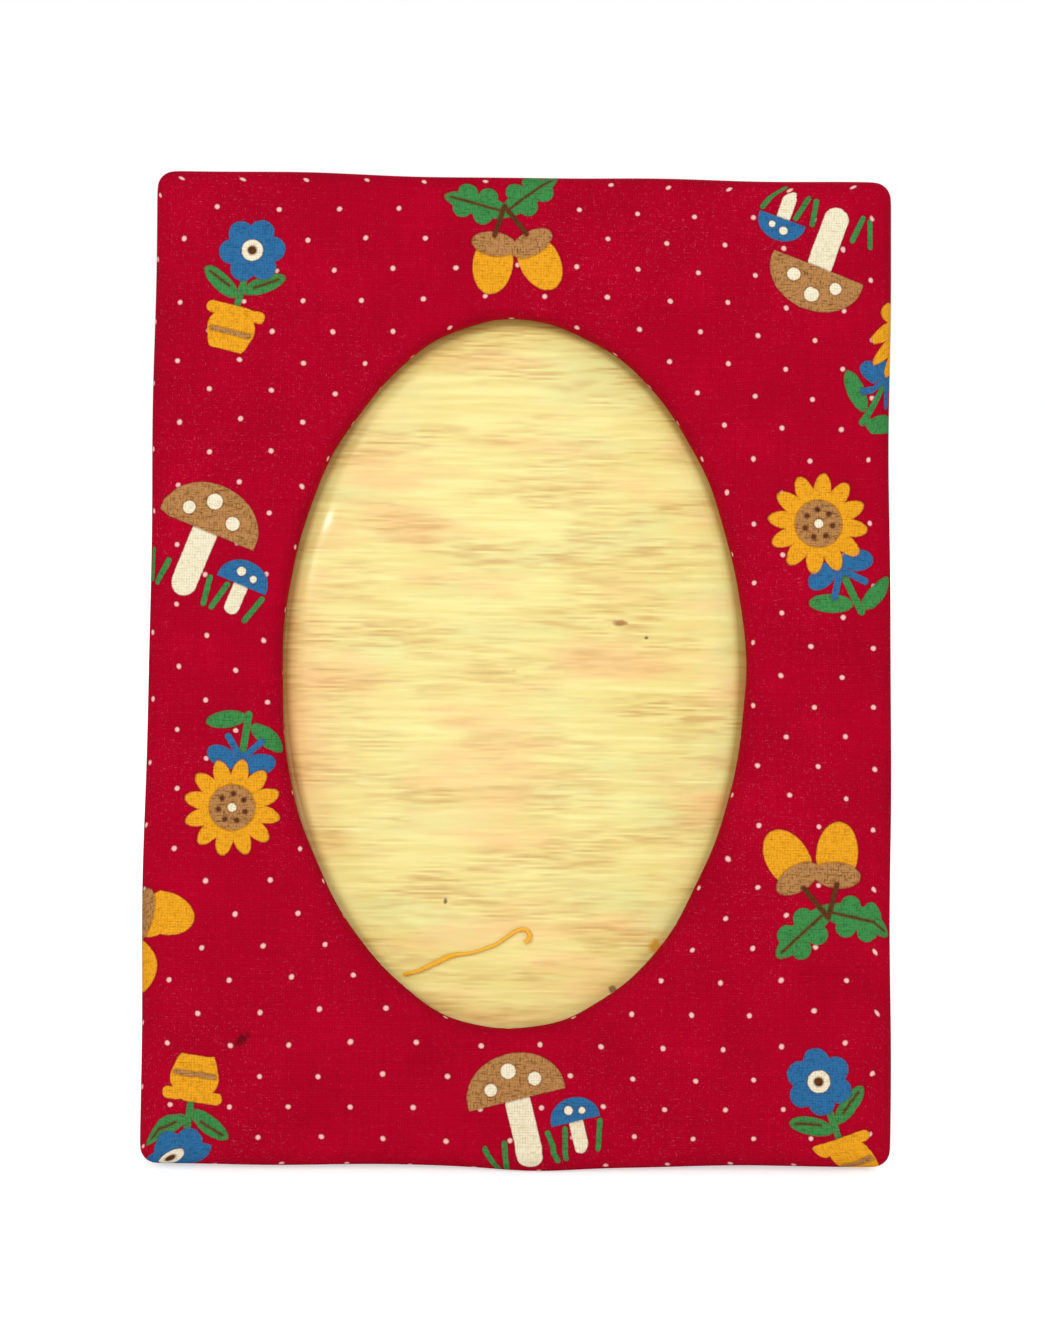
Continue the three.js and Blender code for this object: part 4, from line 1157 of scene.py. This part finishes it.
def leg_outline(inset, depth):
    """The tapered outline; the foot is cut level, so it is lower further out."""
    foot = -LEG_REACH - depth * math.tan(LEG_FROM_VERTICAL)
    slope = (LEG_FOOT_WIDTH - LEG_TOP_WIDTH) / 2 / (LEG_TOP - foot)
    low, high = foot + inset, LEG_TOP - inset
    low_x, high_x = (LEG_TOP_WIDTH / 2 + slope * (LEG_TOP - z) - math.hypot(1, slope) * inset
                     for z in (low, high))
    return [(high_x, high), (-high_x, high), (-low_x, low), (low_x, low)], LEG_CORNER


leg_cloth, cut = board_cover("leg_cover", leg_outline, LEG_OUTER, LEG_HEM_FACE, LEG_HEM, LEG_INSETS,
                             leg_at_hinge, LEG_STEPS)
leg_cloth.data.materials.append(plain)
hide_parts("leg_cloth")
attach(leg_cloth, "leg")


# Ribbon stay
# A short red satin ribbon, stapled flat to the back and to the leg, that stops the leg from
# opening too far. It folds flat between them when the leg closes.

RIBBON_WIDTH = 10
RIBBON_THICKNESS = 0.3
RIBBON_BACK = (50, 58)
RIBBON_LEG = (104, 112)
RIBBON_BACK_DEPTH = -1.45
RIBBON_LEG_DEPTH = -0.65
RIBBON_COLUMNS = 9
TAB_ROWS = 6
SPAN_ROWS = 60


def ribbon_point(share, from_axis):
    """A point on the ribbon's middle line, which turns from the back to the leg as it goes."""
    turn = LEG_OPEN * share * share * (3 - 2 * share)
    depth = RIBBON_BACK_DEPTH + (RIBBON_LEG_DEPTH - RIBBON_BACK_DEPTH) * share
    return (from_axis * math.sin(turn) + depth * math.cos(turn),
            depth * math.sin(turn) - from_axis * math.cos(turn))


line = [ribbon_point(0, far) for far in np.linspace(*RIBBON_BACK, TAB_ROWS)[:-1]]
line += [ribbon_point(share, RIBBON_BACK[1] + (RIBBON_LEG[0] - RIBBON_BACK[1]) * share)
         for share in np.linspace(0, 1, SPAN_ROWS)]
line += [ribbon_point(1, far) for far in np.linspace(*RIBBON_LEG, TAB_ROWS)[1:]]
run = lengths_along(np.array(line))
places = np.linspace(-RIBBON_WIDTH / 2, RIBBON_WIDTH / 2, RIBBON_COLUMNS)
ribbon = new_sheet("satin_stay", [(x, y, z) for y, z in line for x in places],
                   row_faces(len(line), len(places), False), back_at_hinge)
keep_flat_place(ribbon, np.array([(x, far) for far in run for x in places]))
apply_modifier(ribbon, "SOLIDIFY", thickness=RIBBON_THICKNESS * MM, offset=0)

# Satin ribbon: fine warp threads along its length, with a soft shine across them.
WARP = 0.18
satin, add, shader, place = new_material("red_satin_ribbon", on_cloth=True)
warp = drawn_out(add, place, WARP, 30, 2.0)
tone = add("MixRGB", [warp, "#A00A26", "#C01A38"])
sheen = add("MapRange", [warp, 0.3, 0.7, 0.32, 0.46])
ridged = add("Bump", {"Height": warp, "Strength": 0.25, "Distance": 0.05 * MM})
set_inputs(shader, {"Base Color": tone, "Roughness": sheen, "Sheen Weight": 0.3, "Anisotropic": 0.6,
                    "Normal": ridged})
ribbon.data.materials.append(satin)
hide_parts("ribbon_stay")
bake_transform(ribbon)


# Staples
# Two staples of wire plated like the hinge. They straddle the ribbon's ends and bite into the
# boards. Each has the depth of its crown, the depth of its points and its height.

STAPLE_X = 5.43
WIRE_RADIUS = 0.225
STAPLE_CORNER = 0.6
BACK_STAPLE = (-0.925, -3.55, -54)
LEG_STAPLE = (-1.175, 1.95, -108)


def add_staple(name, crown_depth, point_depth, height, place):
    """A wire bent square at both corners, from point to crown to point."""
    piece = start_piece(name, bpy.ops.mesh.primitive_plane_add, size=1)
    bpy.ops.mesh.merge(type="CENTER")
    bpy.ops.transform.translate(value=(-STAPLE_X, point_depth, height))
    rise = crown_depth - point_depth
    for step in ((0, rise, 0), (2 * STAPLE_X, 0, 0), (0, -rise, 0)):
        bpy.ops.mesh.extrude_vertices_move(TRANSFORM_OT_translate={"value": step})
    bpy.ops.object.mode_set(mode="OBJECT")
    for vertex in piece.data.vertices:
        vertex.select = abs(vertex.co.y - crown_depth) < 0.01
    bpy.ops.object.mode_set(mode="EDIT")
    bpy.ops.mesh.bevel(offset=STAPLE_CORNER, segments=5, affect="VERTICES")
    bpy.ops.object.mode_set(mode="OBJECT")
    bpy.ops.object.convert(target="CURVE")
    piece = bpy.context.object
    piece.data.bevel_depth = WIRE_RADIUS
    piece.data.bevel_resolution = 3
    piece.data.use_fill_caps = True
    bpy.ops.object.convert(target="MESH")
    piece = bpy.context.object
    bpy.ops.object.mode_set(mode="EDIT")
    end_piece(piece, place)
    return piece


hold(add_staple("back_staple", *BACK_STAPLE, back_at_hinge), "ribbon_staple_back", "frame")
hold(add_staple("leg_staple", *LEG_STAPLE, leg_at_hinge), "ribbon_staple_leg", "leg")


# Studio
# A pale paper floor, one broad soft lamp high on the left, three weaker ones, a pale sky all round
# and a camera where the photo was taken from.

FLOOR_METRES = 6.0
FLOOR_GLOW = 0.55
FLOOR_GRAIN = 60
bpy.ops.object.select_all(action="DESELECT")
bpy.ops.mesh.primitive_plane_add(size=FLOOR_METRES)
floor = bpy.context.object
floor.name = "floor"
paper, add, shader, place = new_material("backdrop_paper")
grain = add("TexNoise", {"Vector": place, "Scale": per_metre(FLOOR_GRAIN), "Detail": 3.0})
tone = add("MixRGB", [grain, "#F1F0EE", "#F6F5F3"])


def seen_share(add):
    """One where a surface is seen, also in metal or through plastic, and nought where it gives light."""
    path = add("LightPath").outputs
    seen = add("Math", [path["Is Camera Ray"], path["Is Glossy Ray"]], operation="MAXIMUM")
    seen = add("Math", [seen, path["Is Transmission Ray"]], operation="MAXIMUM")
    return add("Math", [seen, path["Diffuse Depth"]], operation="GREATER_THAN")


glow = add("Math", [seen_share(add), FLOOR_GLOW], operation="MULTIPLY")
set_inputs(shader, {"Base Color": tone, "Roughness": 0.9, "Emission Color": "#FFFFFF",
                    "Emission Strength": glow})
floor.data.materials.append(paper)

SKY_LIGHT = 0.5
world = bpy.data.worlds.new("studio")
bpy.context.scene.world = world
world.use_nodes = True
add = functools.partial(add_node, world.node_tree)
seen = add("MapRange", [seen_share(add), 0, 1, SKY_LIGHT, 1.0])
set_inputs(world.node_tree.nodes["Background"], {"Color": "#FFFFFF", "Strength": seen})

LAMPS_AIM = Vector((0, 0, 0.1))


def add_lamp(name, position, size, power):
    """A soft square lamp aimed at the frame, in metres and watts."""
    light = bpy.data.lights.new(name, "AREA")
    light.size = size
    light.energy = power
    lamp = bpy.data.objects.new(name, light)
    bpy.context.scene.collection.objects.link(lamp)
    lamp.location = position
    lamp.rotation_euler = (LAMPS_AIM - Vector(position)).to_track_quat("-Z", "Y").to_euler()


add_lamp("key", (-0.26, -1.08, 0.64), 0.9, 6.0)
add_lamp("side", (-0.58, -0.81, 0.57), 0.08, 1.4)
add_lamp("fill", (0.6, -0.9, 0.45), 0.8, 2.2)
add_lamp("rear", (0.5, 0.9, 0.7), 0.8, 5)

# The photo's viewpoint: where the lens was, how it was aimed, and its focal length in pixels.
PHOTO_HEIGHT_PX = 1340
FOCAL_PX = 2197.2
SENSOR = 36
EYE = (-11.34, -456.185, 176.348)
PITCH, YAW, TILT = (math.radians(v) for v in (-9.851, 1.504, 0.885))
ahead = Vector((math.sin(YAW) * math.cos(PITCH), math.cos(YAW) * math.cos(PITCH), math.sin(PITCH)))
level = Vector((math.cos(YAW), -math.sin(YAW), 0))
upright = level.cross(ahead)
right = level * math.cos(TILT) + upright * math.sin(TILT)
top = upright * math.cos(TILT) - level * math.sin(TILT)
camera_data = bpy.data.cameras.new("camera")
camera_data.sensor_width = SENSOR
camera_data.lens = FOCAL_PX * SENSOR / PHOTO_HEIGHT_PX
camera_data.clip_start, camera_data.clip_end = 0.01, 20
camera = bpy.data.objects.new("camera", camera_data)
bpy.context.scene.collection.objects.link(camera)
aim = Matrix((right, top, -ahead)).transposed().to_4x4()
camera.matrix_world = Matrix.Translation(Vector(EYE) * MM) @ aim
bpy.context.scene.camera = camera
bpy.context.scene.view_settings.view_transform = "Standard"
